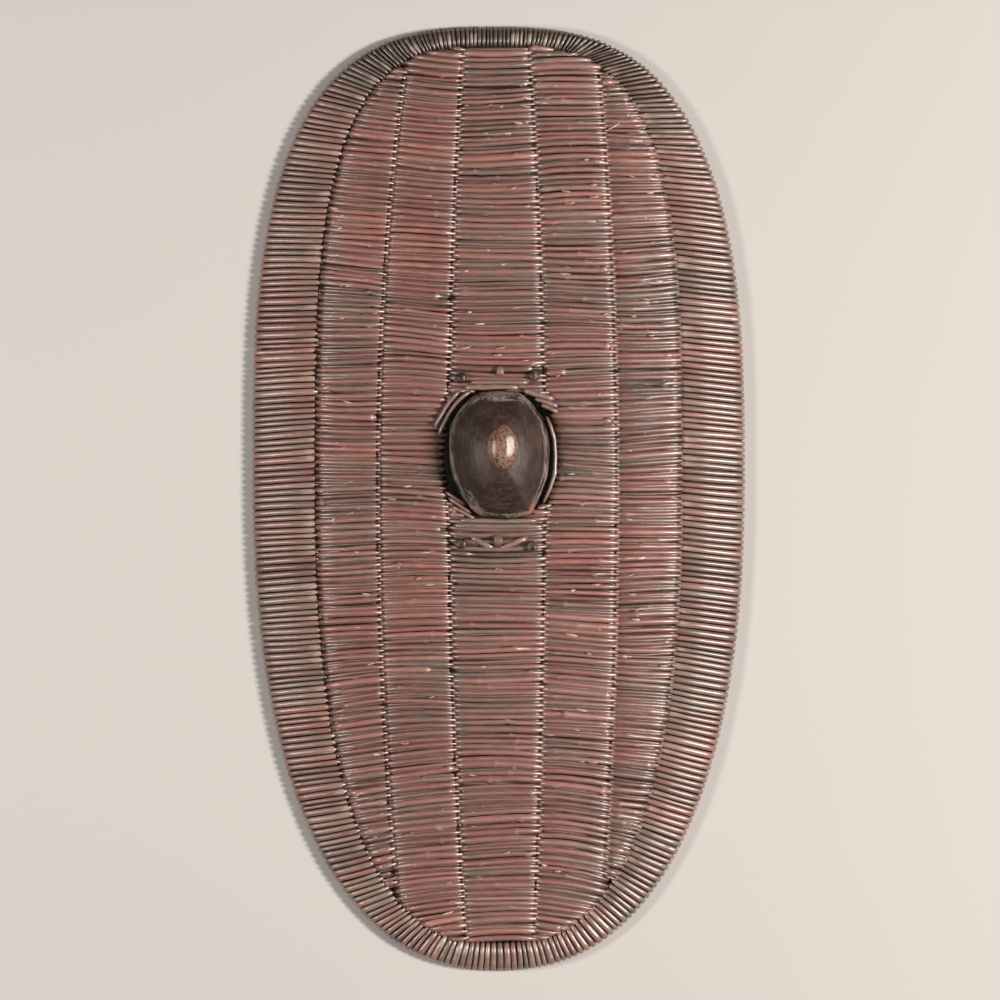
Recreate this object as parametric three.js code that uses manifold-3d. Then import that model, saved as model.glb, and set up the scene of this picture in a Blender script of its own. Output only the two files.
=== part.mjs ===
// A long oval war shield of woven cane: a shallow dome of strands packed over hidden upright stakes,
// bound round its edge with cane, with a hollow carved wooden boss in a hole at its middle and a
// wooden hand grip behind it. It lies on its rim with the boss upward.
// Millimetres. X runs across the shield, Y along it towards its broad end, Z out of its face.
// The origin is on the floor below the middle of its length and width.
import * as THREE from "three";
import { mergeVertices } from "three/addons/utils/BufferGeometryUtils.js";
import Module from "manifold-3d";

const wasm = await Module();
wasm.setup();
const MERGE_DISTANCE = 1e-4;
const HALVINGS = 30;
const SETTLING_PASSES = 3;

// Outline of the whole shield, and of the woven field inside its rim
const HALF_LENGTH = 535;
const HALF_WIDTH = 280;
const WIDEST_Y = 33;
const SHIELD_POWERS = { upperLeft: 2.97, upperRight: 2.8, lower: 2.35 };
const FIELD_HALF_WIDTH = 205;
const FIELD_TOP = 512.5;
const FIELD_BOTTOM = -504;
const FIELD_POWERS = { upperLeft: 3.25, upperRight: 3.25, lower: 2.55 };

// Dome of the mid surface: its height at the edge, its rise to the middle and how late it drops
const EDGE_Z = 7;
const DOME_RISE = 50;
const DOME_POWER = 2.4;

// Weave: the real strands are 7 mm apart, and two ribs stand for three of them
const RIB_PITCH = 10.5;
const RIDGE_HEIGHT = 6.5;
const SEAM_GAP = 1;
const SHORTEST_RIB = 9;
const RIBS_PER_BACK_FACET = 6;
// Lines across a column, as shares of its width from left to right and heights off the mid surface
const COLUMN_VALLEY = [[0, 2], [1, 2]];
const COLUMN_RIDGE = [[0.12, RIDGE_HEIGHT], [0.88, RIDGE_HEIGHT]];
const COLUMN_BACK = [[0, -2], [0.12, -6], [0.88, -6], [1, -2]];

// Strands fan out: a row bends away from the middle by this share of its height, at the field's edge
const FAN = { upperLeft: 0.05, upperRight: 0.012, lower: 0.085 };

// Rim: how its strands lag behind the outline's normal in each quarter, as a power of the turn
const RIM_LAG = { upperLeft: 1.85, upperRight: 3.2, lowerLeft: 1.6, lowerRight: 1.1 };
const RIM_REACH = 120;
const RIM_COURSE_POINTS = 240;
const RIM_FLAT_START = 0.86;
const RIM_FLAT_END = 0.98;
// Lines across the rim, as shares of its width from seam to outer edge and heights off the mid surface
const RIM_VALLEY = [[0, 2], [1, -1.5]];
const RIM_RIDGE = [[0.1, RIDGE_HEIGHT], [0.93, 5.5]];
const RIM_BACK = [[0, -2], [0.2, -6]];
const RIM_BACK_INSET = 7;

// Seams between the columns: x at the middle of the length, at the top and at the bottom. The outer
// columns run on to the rim, so their outer sides are set beyond it.
const SEAM_MIDDLE_Y = 20;
const SEAM_END_REACH = 500;
const SEAMS = {
  outerLeft: { middle: -135, top: -101, bottom: -112, bulge: 0 },
  innerLeft: { middle: -55, top: -39, bottom: -37, bulge: -9 },
  innerRight: { middle: 53, top: 35, bottom: 42, bulge: 13 },
  outerRight: { middle: 134, top: 112, bottom: 118, bulge: 0 },
};
const OPEN_LEFT = { middle: -HALF_WIDTH, top: -HALF_WIDTH, bottom: -HALF_WIDTH, bulge: 0 };
const OPEN_RIGHT = { middle: HALF_WIDTH, top: HALF_WIDTH, bottom: HALF_WIDTH, bulge: 0 };

// Columns between the seams; the middle one is in two, above and below the boss
const COLUMNS = {
  weave_outer_left: { left: OPEN_LEFT, right: SEAMS.outerLeft },
  weave_inner_left: { left: SEAMS.outerLeft, right: SEAMS.innerLeft, besideBoss: true },
  weave_centre_lower: { left: SEAMS.innerLeft, right: SEAMS.innerRight, top: 35, besideBoss: true },
  weave_centre_upper: { left: SEAMS.innerLeft, right: SEAMS.innerRight, bottom: 71, besideBoss: true },
  weave_inner_right: { left: SEAMS.innerRight, right: SEAMS.outerRight, besideBoss: true },
  weave_outer_right: { left: SEAMS.outerRight, right: OPEN_RIGHT },
};

// Boss, in plan an oval round its own middle
const BOSS_Y = 51;
const BOSS_HALF_WIDTH = 57;
const BOSS_HALF_LENGTH = 71.5;
const BOSS_POWER = 2.4;
const BOSS_FOOT_Z = 41;
const BOSS_WALL = 8;
const BOSS_PROFILE = [
  [1, BOSS_FOOT_Z],
  [1, 68],
  [0.95, 84],
  [0.87, 96],
  [0.7, 107],
  [0.45, 114],
  [0.2, 117],
];
const BOSS_CROWN_Z = 118;
const BOSS_SIDES = 20;
const BOSS_BULGE_REACH = 50;
const NUB = { x: 5, y: 58, halfWidth: 16, halfLength: 27, baseZ: 108, height: 18 };
const NUB_STEPS = 8;

// Hole in the weave that the boss stands in
const HOLE_HALF_WIDTH = 68;
const HOLE_HALF_LENGTH = 74;
const HOLE_POWER = 2.7;

// Flanges of the boss and plates of the grip, stacked behind the weave
const FLANGE_TOP_Z = 47.7;
const FLANGE_HALF_WIDTH = 58;
const FLANGE_REACH = 112;
const FLANGE_START = 50;
const FLANGE_CORNER = 14;
const CORNER_STEPS = 3;
const GRIP_PLATE_TOP_Z = 40.7;
const GRIP_PLATE_THICKNESS = 8;
const GRIP_PLATE_HALF_WIDTH = 52;
const GRIP_PLATE_START = 66;
const GRIP_BAR_Z = 33.5;
const GRIP_BAR_RADIUS = 14;
const GRIP_NECK_RADIUS = 6.6;
const GRIP_BAR_BITE = 6;
const GRIP_STEPS = 6;
const GRIP_SIDES = 10;

// Pegs
const PEG_RADIUS = 4;
const PEG_HOLE_RADIUS = 4.6;
const PEG_HEAD_RADIUS = 5.6;
const PEG_TAIL_Z = 29;
const PEG_HEAD_CLEARANCE = 0.6;
const PEG_HEAD_HEIGHT = 7;
const PEG_HEAD_TAPER = 0.6;
const PEG_SIDES = 7;
const DRILL_LENGTH = 100;
const PEGS = {
  peg_upper_left: [-42, 136],
  peg_upper_middle: [1.7, 143.5],
  peg_upper_right: [40.7, 138],
  peg_lower_left: [-42, -50],
  peg_lower_middle: [-0.6, -46.5],
  peg_lower_right: [36.7, -53],
};

// Lashing strands round the boss. The bent ones are given as angles round its middle and distances out
// from its edge, and the short ones by the x and y of their ends.
const LASHING_RADIUS = 2.2;
const LASHING_SIDES = 5;
const LASHING_STEPS = 6;
const LASHING_LIFT = 3;
const BENT_LASHINGS = {
  lashing_right: { from: [33, 12], to: [-56, 13], dip: 7 },
  lashing_left_inner: { from: [114, 5], to: [163, 11], dip: 2 },
  lashing_left_outer: { from: [122, 12], to: [158, 17], dip: 2 },
};
const SHORT_LASHINGS = {
  lashing_shoulder_upper: { from: [29, 121.5], to: [62, 111.5], bow: 0.5 },
  lashing_shoulder_middle: { from: [41, 112.5], to: [66, 104.5], bow: 0.5 },
  lashing_shoulder_lower: { from: [48, 106], to: [66, 98], bow: 0.5 },
  lashing_above_near: { from: [-38, 125.4], to: [23, 125.4], bow: 0.5 },
  lashing_above_far: { from: [-32, 131.2], to: [34, 130.8], bow: 0.3 },
  lashing_below_near: { from: [-44, -24], to: [44, -24], bow: -1 },
  lashing_below_far: { from: [-50, -30], to: [50, -30.5], bow: -0.5 },
};

// Colours, roughness: dyed cane, dark rubbed hardwood and split cane that was left undyed
const FINISHES = {
  cane: new THREE.MeshStandardMaterial({ color: 0x7a4f45, roughness: 0.5 }),
  rimCane: new THREE.MeshStandardMaterial({ color: 0x85635a, roughness: 0.48 }),
  lashing: new THREE.MeshStandardMaterial({ color: 0x7d6a60, roughness: 0.55 }),
  boss: new THREE.MeshStandardMaterial({ color: 0x3a2a25, roughness: 0.4 }),
  grip: new THREE.MeshStandardMaterial({ color: 0x4a342b, roughness: 0.5 }),
  peg: new THREE.MeshStandardMaterial({ color: 0x4a443f, roughness: 0.45 }),
};

/** The last value, on the way from one that passes a test to one that fails it, that still passes. */
function lastThat(passes, first, limit) {
  let passed = first;
  let failed = limit;
  for (let i = 0; i < HALVINGS; i++) {
    const middle = (passed + failed) / 2;
    if (passes(middle)) passed = middle;
    else failed = middle;
  }
  return passed;
}

/** An outline of four superellipse quarters that meet at the widest level. */
class Outline {
  constructor(halfWidth, top, bottom, powers) {
    Object.assign(this, { halfWidth, top, bottom, powers });
  }

  /** 0 at the middle of the widest level, 1 on the outline. */
  level(x, y) {
    const rise = y - WIDEST_Y;
    const reach = rise > 0 ? this.top - WIDEST_Y : WIDEST_Y - this.bottom;
    const upper = x < 0 ? this.powers.upperLeft : this.powers.upperRight;
    const power = rise > 0 ? upper : this.powers.lower;
    const across = (Math.abs(x) / this.halfWidth) ** power;
    const along = (Math.abs(rise) / reach) ** power;
    return (across + along) ** (1 / power);
  }

  /** The point on the outline in a direction from the middle of the widest level. */
  at(angle) {
    const dx = Math.cos(angle);
    const dy = Math.sin(angle);
    const radius = 1 / this.level(dx, WIDEST_Y + dy);
    return new THREE.Vector2(dx * radius, WIDEST_Y + dy * radius);
  }

  /** The outward normal of the level curve through a point. */
  normal(x, y) {
    const step = 0.5;
    return new THREE.Vector2(
      this.level(x + step, y) - this.level(x - step, y),
      this.level(x, y + step) - this.level(x, y - step),
    ).normalize();
  }

  /** Whether a point lies inside the outline. */
  holds(x, y) {
    return this.level(x, y) < 1;
  }

  /** How far along a line through a point the outline lies, between a near and a far distance. */
  crossing(point, way, near, far) {
    return lastThat((run) => this.holds(point.x + way.x * run, point.y + way.y * run), near, far);
  }
}

const shield = new Outline(HALF_WIDTH, HALF_LENGTH, -HALF_LENGTH, SHIELD_POWERS);
const field = new Outline(FIELD_HALF_WIDTH, FIELD_TOP, FIELD_BOTTOM, FIELD_POWERS);
const rimMiddle = new Outline(
  (HALF_WIDTH + FIELD_HALF_WIDTH) / 2,
  (HALF_LENGTH + FIELD_TOP) / 2,
  (FIELD_BOTTOM - HALF_LENGTH) / 2,
  { upperLeft: 3.1, upperRight: 3, lower: 2.45 },
);

/** Height of the mid surface of the shield above the floor. */
function domeZ(x, y) {
  return EDGE_Z + DOME_RISE * (1 - shield.level(x, y) ** DOME_POWER);
}

/** A point of the shield, lifted above or sunk below its mid surface. */
function onDome(x, y, lift) {
  return new THREE.Vector3(x, y, domeZ(x, y) + lift);
}

/** The x of a seam at a height: it bows outwards, and bulges round the boss. */
function seamX({ middle, top, bottom, bulge }, y) {
  const share = (y - SEAM_MIDDLE_Y) / SEAM_END_REACH;
  const end = share > 0 ? top : bottom;
  const nearBoss = Math.exp(-(((y - BOSS_Y) / BOSS_BULGE_REACH) ** 2));
  return middle + (end - middle) * share ** 2 + bulge * nearBoss;
}

/** The height of a row at an x: rows fan out away from the middle of the length. */
function rowY(rowAt, x) {
  const upper = x < 0 ? FAN.upperLeft : FAN.upperRight;
  const fan = rowAt > 0 ? upper : FAN.lower;
  return rowAt * (1 + fan * (x / FIELD_HALF_WIDTH) ** 2);
}

/** The x where a row meets a seam. */
function rowSeamX(rowAt, seam) {
  let x = seamX(seam, rowAt);
  for (let i = 0; i < SETTLING_PASSES; i++) x = seamX(seam, rowY(rowAt, x));
  return x;
}

/** The x where a row that runs from a start to a limit stops: at the limit, or before it at the rim. */
function rowStop(rowAt, start, limit) {
  const inField = (x) => field.holds(x, rowY(rowAt, x));
  if (!inField(start)) return start;
  if (inField(limit)) return limit;
  return lastThat(inField, start, limit);
}

/** A closed solid's triangles, joined up from strips of named points. */
class Skin {
  triangles = [];

  triangle(a, b, c) {
    this.triangles.push(a, b, c);
  }

  quad(a, b, c, d) {
    this.triangle(a, b, c);
    this.triangle(a, c, d);
  }

  fan(points) {
    for (let i = 1; i < points.length - 1; i++) this.triangle(points[0], points[i], points[i + 1]);
  }

  geometry() {
    return new THREE.BufferGeometry().setFromPoints(this.triangles);
  }
}

/**
 * A band of ribs with a plainer back. Each rib is a hipped ridge between two valley lines, and all
 * run from the band's inner edge to its outer edge, with its length on the left of that way.
 * The back has a line to each few ribs, and the band is a ring where it is closed.
 */
function ribbedBand(valleys, ridges, backs, closed) {
  const skin = new Skin();
  const count = ridges.length;
  const valley = (k) => valleys[k % valleys.length];
  for (let j = 0; j < (closed ? backs.length : backs.length - 1); j++) {
    const back = backs[j];
    const next = backs[(j + 1) % backs.length];
    const last = closed && j === backs.length - 1 ? count : next.at;
    for (let k = back.at; k < last; k++) {
      const near = valley(k);
      const far = valley(k + 1);
      const ridge = ridges[k];
      for (let i = 0; i < ridge.length - 1; i++) {
        skin.quad(near[i], near[i + 1], ridge[i + 1], ridge[i]);
        skin.quad(ridge[i], ridge[i + 1], far[i + 1], far[i]);
      }
      skin.triangle(near[0], ridge[0], far[0]);
      skin.triangle(near.at(-1), far.at(-1), ridge.at(-1));
      skin.triangle(back.points[0], near[0], far[0]);
      skin.triangle(back.points.at(-1), far.at(-1), near.at(-1));
    }
    skin.triangle(back.points[0], valley(last)[0], next.points[0]);
    skin.triangle(back.points.at(-1), next.points.at(-1), valley(last).at(-1));
    for (let i = 0; i < back.points.length - 1; i++) {
      skin.quad(back.points[i], next.points[i], next.points[i + 1], back.points[i + 1]);
    }
  }
  if (!closed) {
    skin.fan([...valley(0).toReversed(), ...backs[0].points]);
    skin.fan([...valley(count), ...backs.at(-1).points.toReversed()]);
  }
  return skin.geometry();
}

/** Indices of the ribs where the back has a line: every few ribs, and the last. */
function backStations(count, closed) {
  const stations = [];
  for (let k = 0; k < count; k += RIBS_PER_BACK_FACET) stations.push(k);
  if (closed) return stations;
  if (count - stations.at(-1) < 2) stations.pop();
  return [...stations, count];
}

/** Ends of one row of a column, a gap away from its seams. */
function rowSpan(column, rowAt) {
  const left = rowSeamX(rowAt, column.left) + SEAM_GAP / 2;
  const right = rowSeamX(rowAt, column.right) - SEAM_GAP / 2;
  const start = THREE.MathUtils.clamp(0, left, right);
  return [rowStop(rowAt, start, left), rowStop(rowAt, start, right)];
}

/** The row nearest a limit at which a column is still wide enough to make. */
function columnEnd(column, limit) {
  const isWide = (rowAt) => {
    const [left, right] = rowSpan(column, rowAt);
    return right - left > SHORTEST_RIB;
  };
  return lastThat(isWide, SEAM_MIDDLE_Y, limit);
}

/** One column of the weave between two heights, as a ribbed band that runs up the shield. */
function columnGeometry(column, bottom, top) {
  const count = Math.round((top - bottom) / RIB_PITCH);
  const line = (k, profile) => {
    const rowAt = bottom + ((top - bottom) * k) / count;
    const [left, right] = rowSpan(column, rowAt);
    return profile.map(([share, lift]) => {
      const x = left + (right - left) * share;
      return onDome(x, rowY(rowAt, x), lift);
    });
  };
  const valleys = [];
  const ridges = [];
  for (let k = 0; k <= count; k++) valleys.push(line(k, COLUMN_VALLEY));
  for (let k = 0; k < count; k++) ridges.push(line(k + 0.5, COLUMN_RIDGE));
  const backs = backStations(count, false).map((k) => ({ at: k, points: line(k, COLUMN_BACK) }));
  return ribbedBand(valleys, ridges, backs, false);
}

/** The way a rim strand runs outwards from a point on the rim's middle line. */
function rimDirection({ x, y }) {
  const normal = rimMiddle.normal(x, y);
  const side = normal.x < 0 ? "Left" : "Right";
  const lag = RIM_LAG[(normal.y > 0 ? "upper" : "lower") + side];
  const quarter = Math.PI / 2;
  const turn = Math.atan2(Math.abs(normal.y), Math.abs(normal.x)) / quarter;
  const angle = quarter * turn ** lag;
  return new THREE.Vector2(Math.sign(normal.x) * Math.cos(angle), Math.sign(normal.y) * Math.sin(angle));
}

/** The rim: strands evenly spread along its middle line, from the seam round the field outwards. */
function rimGeometry() {
  const course = [];
  for (let i = 0; i <= RIM_COURSE_POINTS; i++) {
    course.push(rimMiddle.at((2 * Math.PI * i) / RIM_COURSE_POINTS));
  }
  const curve = new THREE.SplineCurve(course);
  const count = Math.round(curve.getLength() / RIB_PITCH);
  const stations = curve.getSpacedPoints(count * 2).slice(0, -1);
  const strands = stations.map((station) => {
    const way = rimDirection(station);
    const start = field.crossing(station, way, -RIM_REACH, 0) + SEAM_GAP;
    const end = shield.crossing(station, way, 0, RIM_REACH);
    return (share, inset) => {
      const first = start + inset;
      return station.clone().addScaledVector(way, first + (end - first) * share);
    };
  });
  const line = (strand, profile, inset = 0) => profile.map(([share, lift]) => {
    const { x, y } = strand(share, inset);
    return onDome(x, y, lift);
  });
  const restLine = (strand) => [RIM_FLAT_START, RIM_FLAT_END].map((share) => {
    const { x, y } = strand(share, RIM_BACK_INSET);
    return new THREE.Vector3(x, y, 0);
  });
  const valleys = strands.filter((_, i) => i % 2 === 0).map((strand) => line(strand, RIM_VALLEY));
  const ridges = strands.filter((_, i) => i % 2 === 1).map((strand) => line(strand, RIM_RIDGE));
  const backs = backStations(count, true).map((k) => {
    const strand = strands[2 * k];
    return { at: k, points: [...line(strand, RIM_BACK, RIM_BACK_INSET), ...restLine(strand)] };
  });
  return ribbedBand(valleys, ridges, backs, true);
}

/** A solid for cutting and joining, from a closed geometry. */
function solidOf(geometry) {
  const bare = geometry.clone();
  bare.deleteAttribute("normal");
  bare.deleteAttribute("uv");
  const merged = mergeVertices(bare, MERGE_DISTANCE);
  return new wasm.Manifold(new wasm.Mesh({
    numProp: 3,
    vertProperties: merged.attributes.position.array,
    triVerts: Uint32Array.from(merged.index.array),
  }));
}

/** The geometry of a cut or joined solid. */
function geometryOf(solid) {
  const { vertProperties, triVerts } = solid.getMesh();
  const geometry = new THREE.BufferGeometry();
  geometry.setAttribute("position", new THREE.BufferAttribute(Float32Array.from(vertProperties), 3));
  geometry.setIndex(new THREE.BufferAttribute(Uint32Array.from(triVerts), 1));
  const faceted = geometry.toNonIndexed();
  faceted.computeVertexNormals();
  return faceted;
}

/** A point of an oval with squared-off corners, round the middle of the boss. */
function ovalPoint(halfWidth, halfLength, power, angle) {
  const c = Math.cos(angle);
  const s = Math.sin(angle);
  const radius = (Math.abs(c / halfWidth) ** power + Math.abs(s / halfLength) ** power) ** (-1 / power);
  return new THREE.Vector2(c * radius, BOSS_Y + s * radius);
}

/** A flat oval block round the middle of the boss. */
function ovalBlock(halfWidth, halfLength, power, bottom, top) {
  const points = [];
  for (let i = 0; i < BOSS_SIDES * 2; i++) {
    points.push(ovalPoint(halfWidth, halfLength, power, (Math.PI * i) / BOSS_SIDES));
  }
  const outline = new THREE.Shape(points);
  const block = new THREE.ExtrudeGeometry(outline, { depth: top - bottom, bevelEnabled: false });
  return solidOf(block.translate(0, 0, bottom));
}

/** A dome on the plan of the boss: its rings, narrowed and lowered by a wall, under one crown point. */
function bossDome(wall, footZ) {
  const skin = new Skin();
  const ring = ([share, z]) => {
    const points = [];
    for (let i = 0; i < BOSS_SIDES; i++) {
      const angle = (2 * Math.PI * i) / BOSS_SIDES;
      const halfWidth = (BOSS_HALF_WIDTH - wall) * share;
      const halfLength = (BOSS_HALF_LENGTH - wall) * share;
      const { x, y } = ovalPoint(halfWidth, halfLength, BOSS_POWER, angle);
      points.push(new THREE.Vector3(x, y, z));
    }
    return points;
  };
  const [, ...upper] = BOSS_PROFILE;
  const rings = [ring([1, footZ]), ...upper.map(([share, z]) => ring([share, z - wall]))];
  const crown = new THREE.Vector3(0, BOSS_Y, BOSS_CROWN_Z - wall);
  for (let i = 0; i < BOSS_SIDES; i++) {
    const next = (i + 1) % BOSS_SIDES;
    for (let j = 0; j < rings.length - 1; j++) {
      skin.quad(rings[j][i], rings[j][next], rings[j + 1][next], rings[j + 1][i]);
    }
    skin.triangle(rings.at(-1)[i], rings.at(-1)[next], crown);
  }
  skin.fan(rings[0].toReversed());
  return solidOf(skin.geometry());
}

/** A plate behind the weave, above or below the boss, with its two far corners rounded. */
function plate(side, halfWidth, start, topZ, thickness) {
  const shape = new THREE.Shape();
  const corner = FLANGE_CORNER;
  shape.moveTo(-halfWidth, start);
  shape.lineTo(halfWidth, start);
  shape.lineTo(halfWidth, FLANGE_REACH - corner);
  shape.absarc(halfWidth - corner, FLANGE_REACH - corner, corner, 0, Math.PI / 2, false);
  shape.absarc(corner - halfWidth, FLANGE_REACH - corner, corner, Math.PI / 2, Math.PI, false);
  const geometry = new THREE.ExtrudeGeometry(shape, {
    depth: thickness,
    bevelEnabled: false,
    curveSegments: CORNER_STEPS,
  });
  geometry.rotateZ(side > 0 ? 0 : Math.PI);
  return solidOf(geometry.translate(0, BOSS_Y, topZ - thickness));
}

/** The worn nub on the crown of the boss: a ridge pointed at both ends, like a leaf. */
function nubSolid() {
  const skin = new Skin();
  const edge = (side, share) => new THREE.Vector3(
    NUB.x + side * NUB.halfWidth * (1 - share ** 2),
    NUB.y + NUB.halfLength * share,
    NUB.baseZ,
  );
  const ridge = (share) => new THREE.Vector3(
    NUB.x,
    NUB.y + NUB.halfLength * share,
    NUB.baseZ + NUB.height * Math.sqrt(Math.max(1 - share ** 2, 0)),
  );
  const shares = [];
  for (let i = 0; i <= NUB_STEPS; i++) shares.push(-Math.cos((Math.PI * i) / NUB_STEPS));
  for (let i = 0; i < NUB_STEPS; i++) {
    const [a, b] = [shares[i], shares[i + 1]];
    skin.quad(edge(1, a), edge(1, b), ridge(b), ridge(a));
    skin.quad(ridge(a), ridge(b), edge(-1, b), edge(-1, a));
    skin.quad(edge(-1, a), edge(-1, b), edge(1, b), edge(1, a));
  }
  return solidOf(skin.geometry());
}

/** Round holes for the pegs, cut through whatever they pass. */
function cutPegHoles(solid) {
  let cut = solid;
  for (const [x, y] of Object.values(PEGS)) {
    const drill = new THREE.CylinderGeometry(PEG_HOLE_RADIUS, PEG_HOLE_RADIUS, DRILL_LENGTH, PEG_SIDES);
    cut = cut.subtract(solidOf(drill.rotateX(Math.PI / 2).translate(x, y, DRILL_LENGTH / 2)));
  }
  return cut;
}

/** The boss: a hollow dome, its nub and two flanges that lie behind the weave, carved as one. */
function bossGeometry() {
  const thickness = FLANGE_TOP_Z - BOSS_FOOT_Z;
  const upper = plate(1, FLANGE_HALF_WIDTH, FLANGE_START, FLANGE_TOP_Z, thickness);
  const lower = plate(-1, FLANGE_HALF_WIDTH, FLANGE_START, FLANGE_TOP_Z, thickness);
  const block = bossDome(0, BOSS_FOOT_Z).add(nubSolid()).add(upper).add(lower);
  return geometryOf(cutPegHoles(block.subtract(bossDome(BOSS_WALL, BOSS_FOOT_Z - BOSS_WALL))));
}

/** The grip: a swelling bar along the hollow of the boss, between two plates. */
function gripGeometry() {
  const halfBar = GRIP_PLATE_START + GRIP_BAR_BITE;
  const swell = GRIP_BAR_RADIUS - GRIP_NECK_RADIUS;
  const profile = [new THREE.Vector2(0, -halfBar)];
  for (let i = 0; i <= GRIP_STEPS; i++) {
    const share = (2 * i) / GRIP_STEPS - 1;
    const radius = GRIP_NECK_RADIUS + swell * Math.cos((share * Math.PI) / 2) ** 2;
    profile.push(new THREE.Vector2(radius, halfBar * share));
  }
  profile.push(new THREE.Vector2(0, halfBar));
  const bar = solidOf(new THREE.LatheGeometry(profile, GRIP_SIDES).translate(0, BOSS_Y, GRIP_BAR_Z));
  const plates = [1, -1].map((side) => (
    plate(side, GRIP_PLATE_HALF_WIDTH, GRIP_PLATE_START, GRIP_PLATE_TOP_Z, GRIP_PLATE_THICKNESS)
  ));
  return geometryOf(cutPegHoles(plates.reduce((joined, one) => joined.add(one), bar)));
}

/** A peg through the weave and both plates: a shank and a wider rubbed head. */
function pegGeometry(x, y) {
  const headZ = domeZ(x, y) + RIDGE_HEIGHT + PEG_HEAD_CLEARANCE;
  const profile = [
    [0, PEG_TAIL_Z],
    [PEG_RADIUS, PEG_TAIL_Z],
    [PEG_RADIUS, headZ],
    [PEG_HEAD_RADIUS, headZ],
    [PEG_HEAD_RADIUS, headZ + PEG_HEAD_HEIGHT * PEG_HEAD_TAPER],
    [PEG_HEAD_RADIUS * PEG_HEAD_TAPER, headZ + PEG_HEAD_HEIGHT],
    [0, headZ + PEG_HEAD_HEIGHT],
  ].map(([radius, z]) => new THREE.Vector2(radius, z));
  return new THREE.LatheGeometry(profile, PEG_SIDES).rotateX(Math.PI / 2).translate(x, y, 0);
}

/** A round strand laid over the weave along points of its plan. */
function lashingGeometry(plan) {
  const lift = RIDGE_HEIGHT + LASHING_LIFT;
  const path = new THREE.CatmullRomCurve3(plan.map(({ x, y }) => onDome(x, y, lift)));
  const section = [];
  for (let i = 0; i < LASHING_SIDES; i++) {
    const angle = (2 * Math.PI * i) / LASHING_SIDES;
    section.push(new THREE.Vector2(Math.cos(angle), Math.sin(angle)).multiplyScalar(LASHING_RADIUS));
  }
  return new THREE.ExtrudeGeometry(new THREE.Shape(section), { steps: LASHING_STEPS, extrudePath: path });
}

/** The plan of a strand bent round the boss, nearer to it at mid length than at its ends. */
function bentPlan({ from, to, dip }) {
  const plan = [];
  for (let i = 0; i <= LASHING_STEPS; i++) {
    const share = i / LASHING_STEPS;
    const angle = THREE.MathUtils.degToRad(THREE.MathUtils.lerp(from[0], to[0], share));
    const out = THREE.MathUtils.lerp(from[1], to[1], share) - dip * Math.sin(Math.PI * share);
    plan.push(ovalPoint(BOSS_HALF_WIDTH + out, BOSS_HALF_LENGTH + out, BOSS_POWER, angle));
  }
  return plan;
}

/** The plan of a short strand between two points, bowed a little up the shield. */
function shortPlan({ from, to, bow }) {
  const plan = [];
  for (let i = 0; i <= LASHING_STEPS; i++) {
    const share = i / LASHING_STEPS;
    const rise = bow * Math.sin(Math.PI * share);
    plan.push(new THREE.Vector2(
      THREE.MathUtils.lerp(from[0], to[0], share),
      THREE.MathUtils.lerp(from[1], to[1], share) + rise,
    ));
  }
  return plan;
}

const group = new THREE.Group();

function addPiece(name, geometry, material) {
  const mesh = new THREE.Mesh(geometry, material);
  mesh.name = name;
  group.add(mesh);
}

const hole = ovalBlock(HOLE_HALF_WIDTH, HOLE_HALF_LENGTH, HOLE_POWER, 0, DRILL_LENGTH);

for (const [name, column] of Object.entries(COLUMNS)) {
  const bottom = column.bottom ?? columnEnd(column, FIELD_BOTTOM);
  const top = column.top ?? columnEnd(column, FIELD_TOP);
  const band = columnGeometry(column, bottom, top);
  const cut = column.besideBoss ? geometryOf(cutPegHoles(solidOf(band).subtract(hole))) : band;
  addPiece(name, cut, FINISHES.cane);
}
addPiece("rim", rimGeometry(), FINISHES.rimCane);
addPiece("boss", bossGeometry(), FINISHES.boss);
addPiece("grip", gripGeometry(), FINISHES.grip);
for (const [name, [x, y]] of Object.entries(PEGS)) addPiece(name, pegGeometry(x, y), FINISHES.peg);
for (const [name, strand] of Object.entries(BENT_LASHINGS)) {
  addPiece(name, lashingGeometry(bentPlan(strand)), FINISHES.lashing);
}
for (const [name, strand] of Object.entries(SHORT_LASHINGS)) {
  addPiece(name, lashingGeometry(shortPlan(strand)), FINISHES.lashing);
}

export default group;
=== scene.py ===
"""Dress a long oval shield of woven cane: its strands, bound rim, carved boss, grip, pegs and lashings.

Sizes are in millimetres and become metres where a mesh is written. X runs across the shield, Y along it
towards its broad end, and Z out of its face. The shield lies face up, and the camera looks down on it.
"""
import logging
import math
from collections.abc import Callable
from dataclasses import dataclass, field
from enum import Enum

import bpy
import numpy as np
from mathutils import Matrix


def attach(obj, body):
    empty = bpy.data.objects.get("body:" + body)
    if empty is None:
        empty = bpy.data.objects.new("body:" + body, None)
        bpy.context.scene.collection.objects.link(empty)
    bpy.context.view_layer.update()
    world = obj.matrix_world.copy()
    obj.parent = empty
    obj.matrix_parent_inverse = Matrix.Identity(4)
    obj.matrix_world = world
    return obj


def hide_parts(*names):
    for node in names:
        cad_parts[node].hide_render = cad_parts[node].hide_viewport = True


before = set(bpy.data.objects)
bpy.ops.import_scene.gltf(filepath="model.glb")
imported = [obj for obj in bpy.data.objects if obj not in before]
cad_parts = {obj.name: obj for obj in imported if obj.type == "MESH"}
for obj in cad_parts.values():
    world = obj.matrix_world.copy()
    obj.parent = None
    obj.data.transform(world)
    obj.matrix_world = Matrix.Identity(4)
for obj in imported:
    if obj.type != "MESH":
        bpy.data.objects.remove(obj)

Array = np.ndarray

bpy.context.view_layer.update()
METRES = 0.001
BODY = "root"
HALVINGS = 30

LOG = logging.getLogger("shield")
logging.basicConfig(level=logging.INFO, format="%(name)s: %(message)s")

EDGE_Z = 7.0
DOME_RISE = 50.0
DOME_POWER = 2.4

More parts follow.
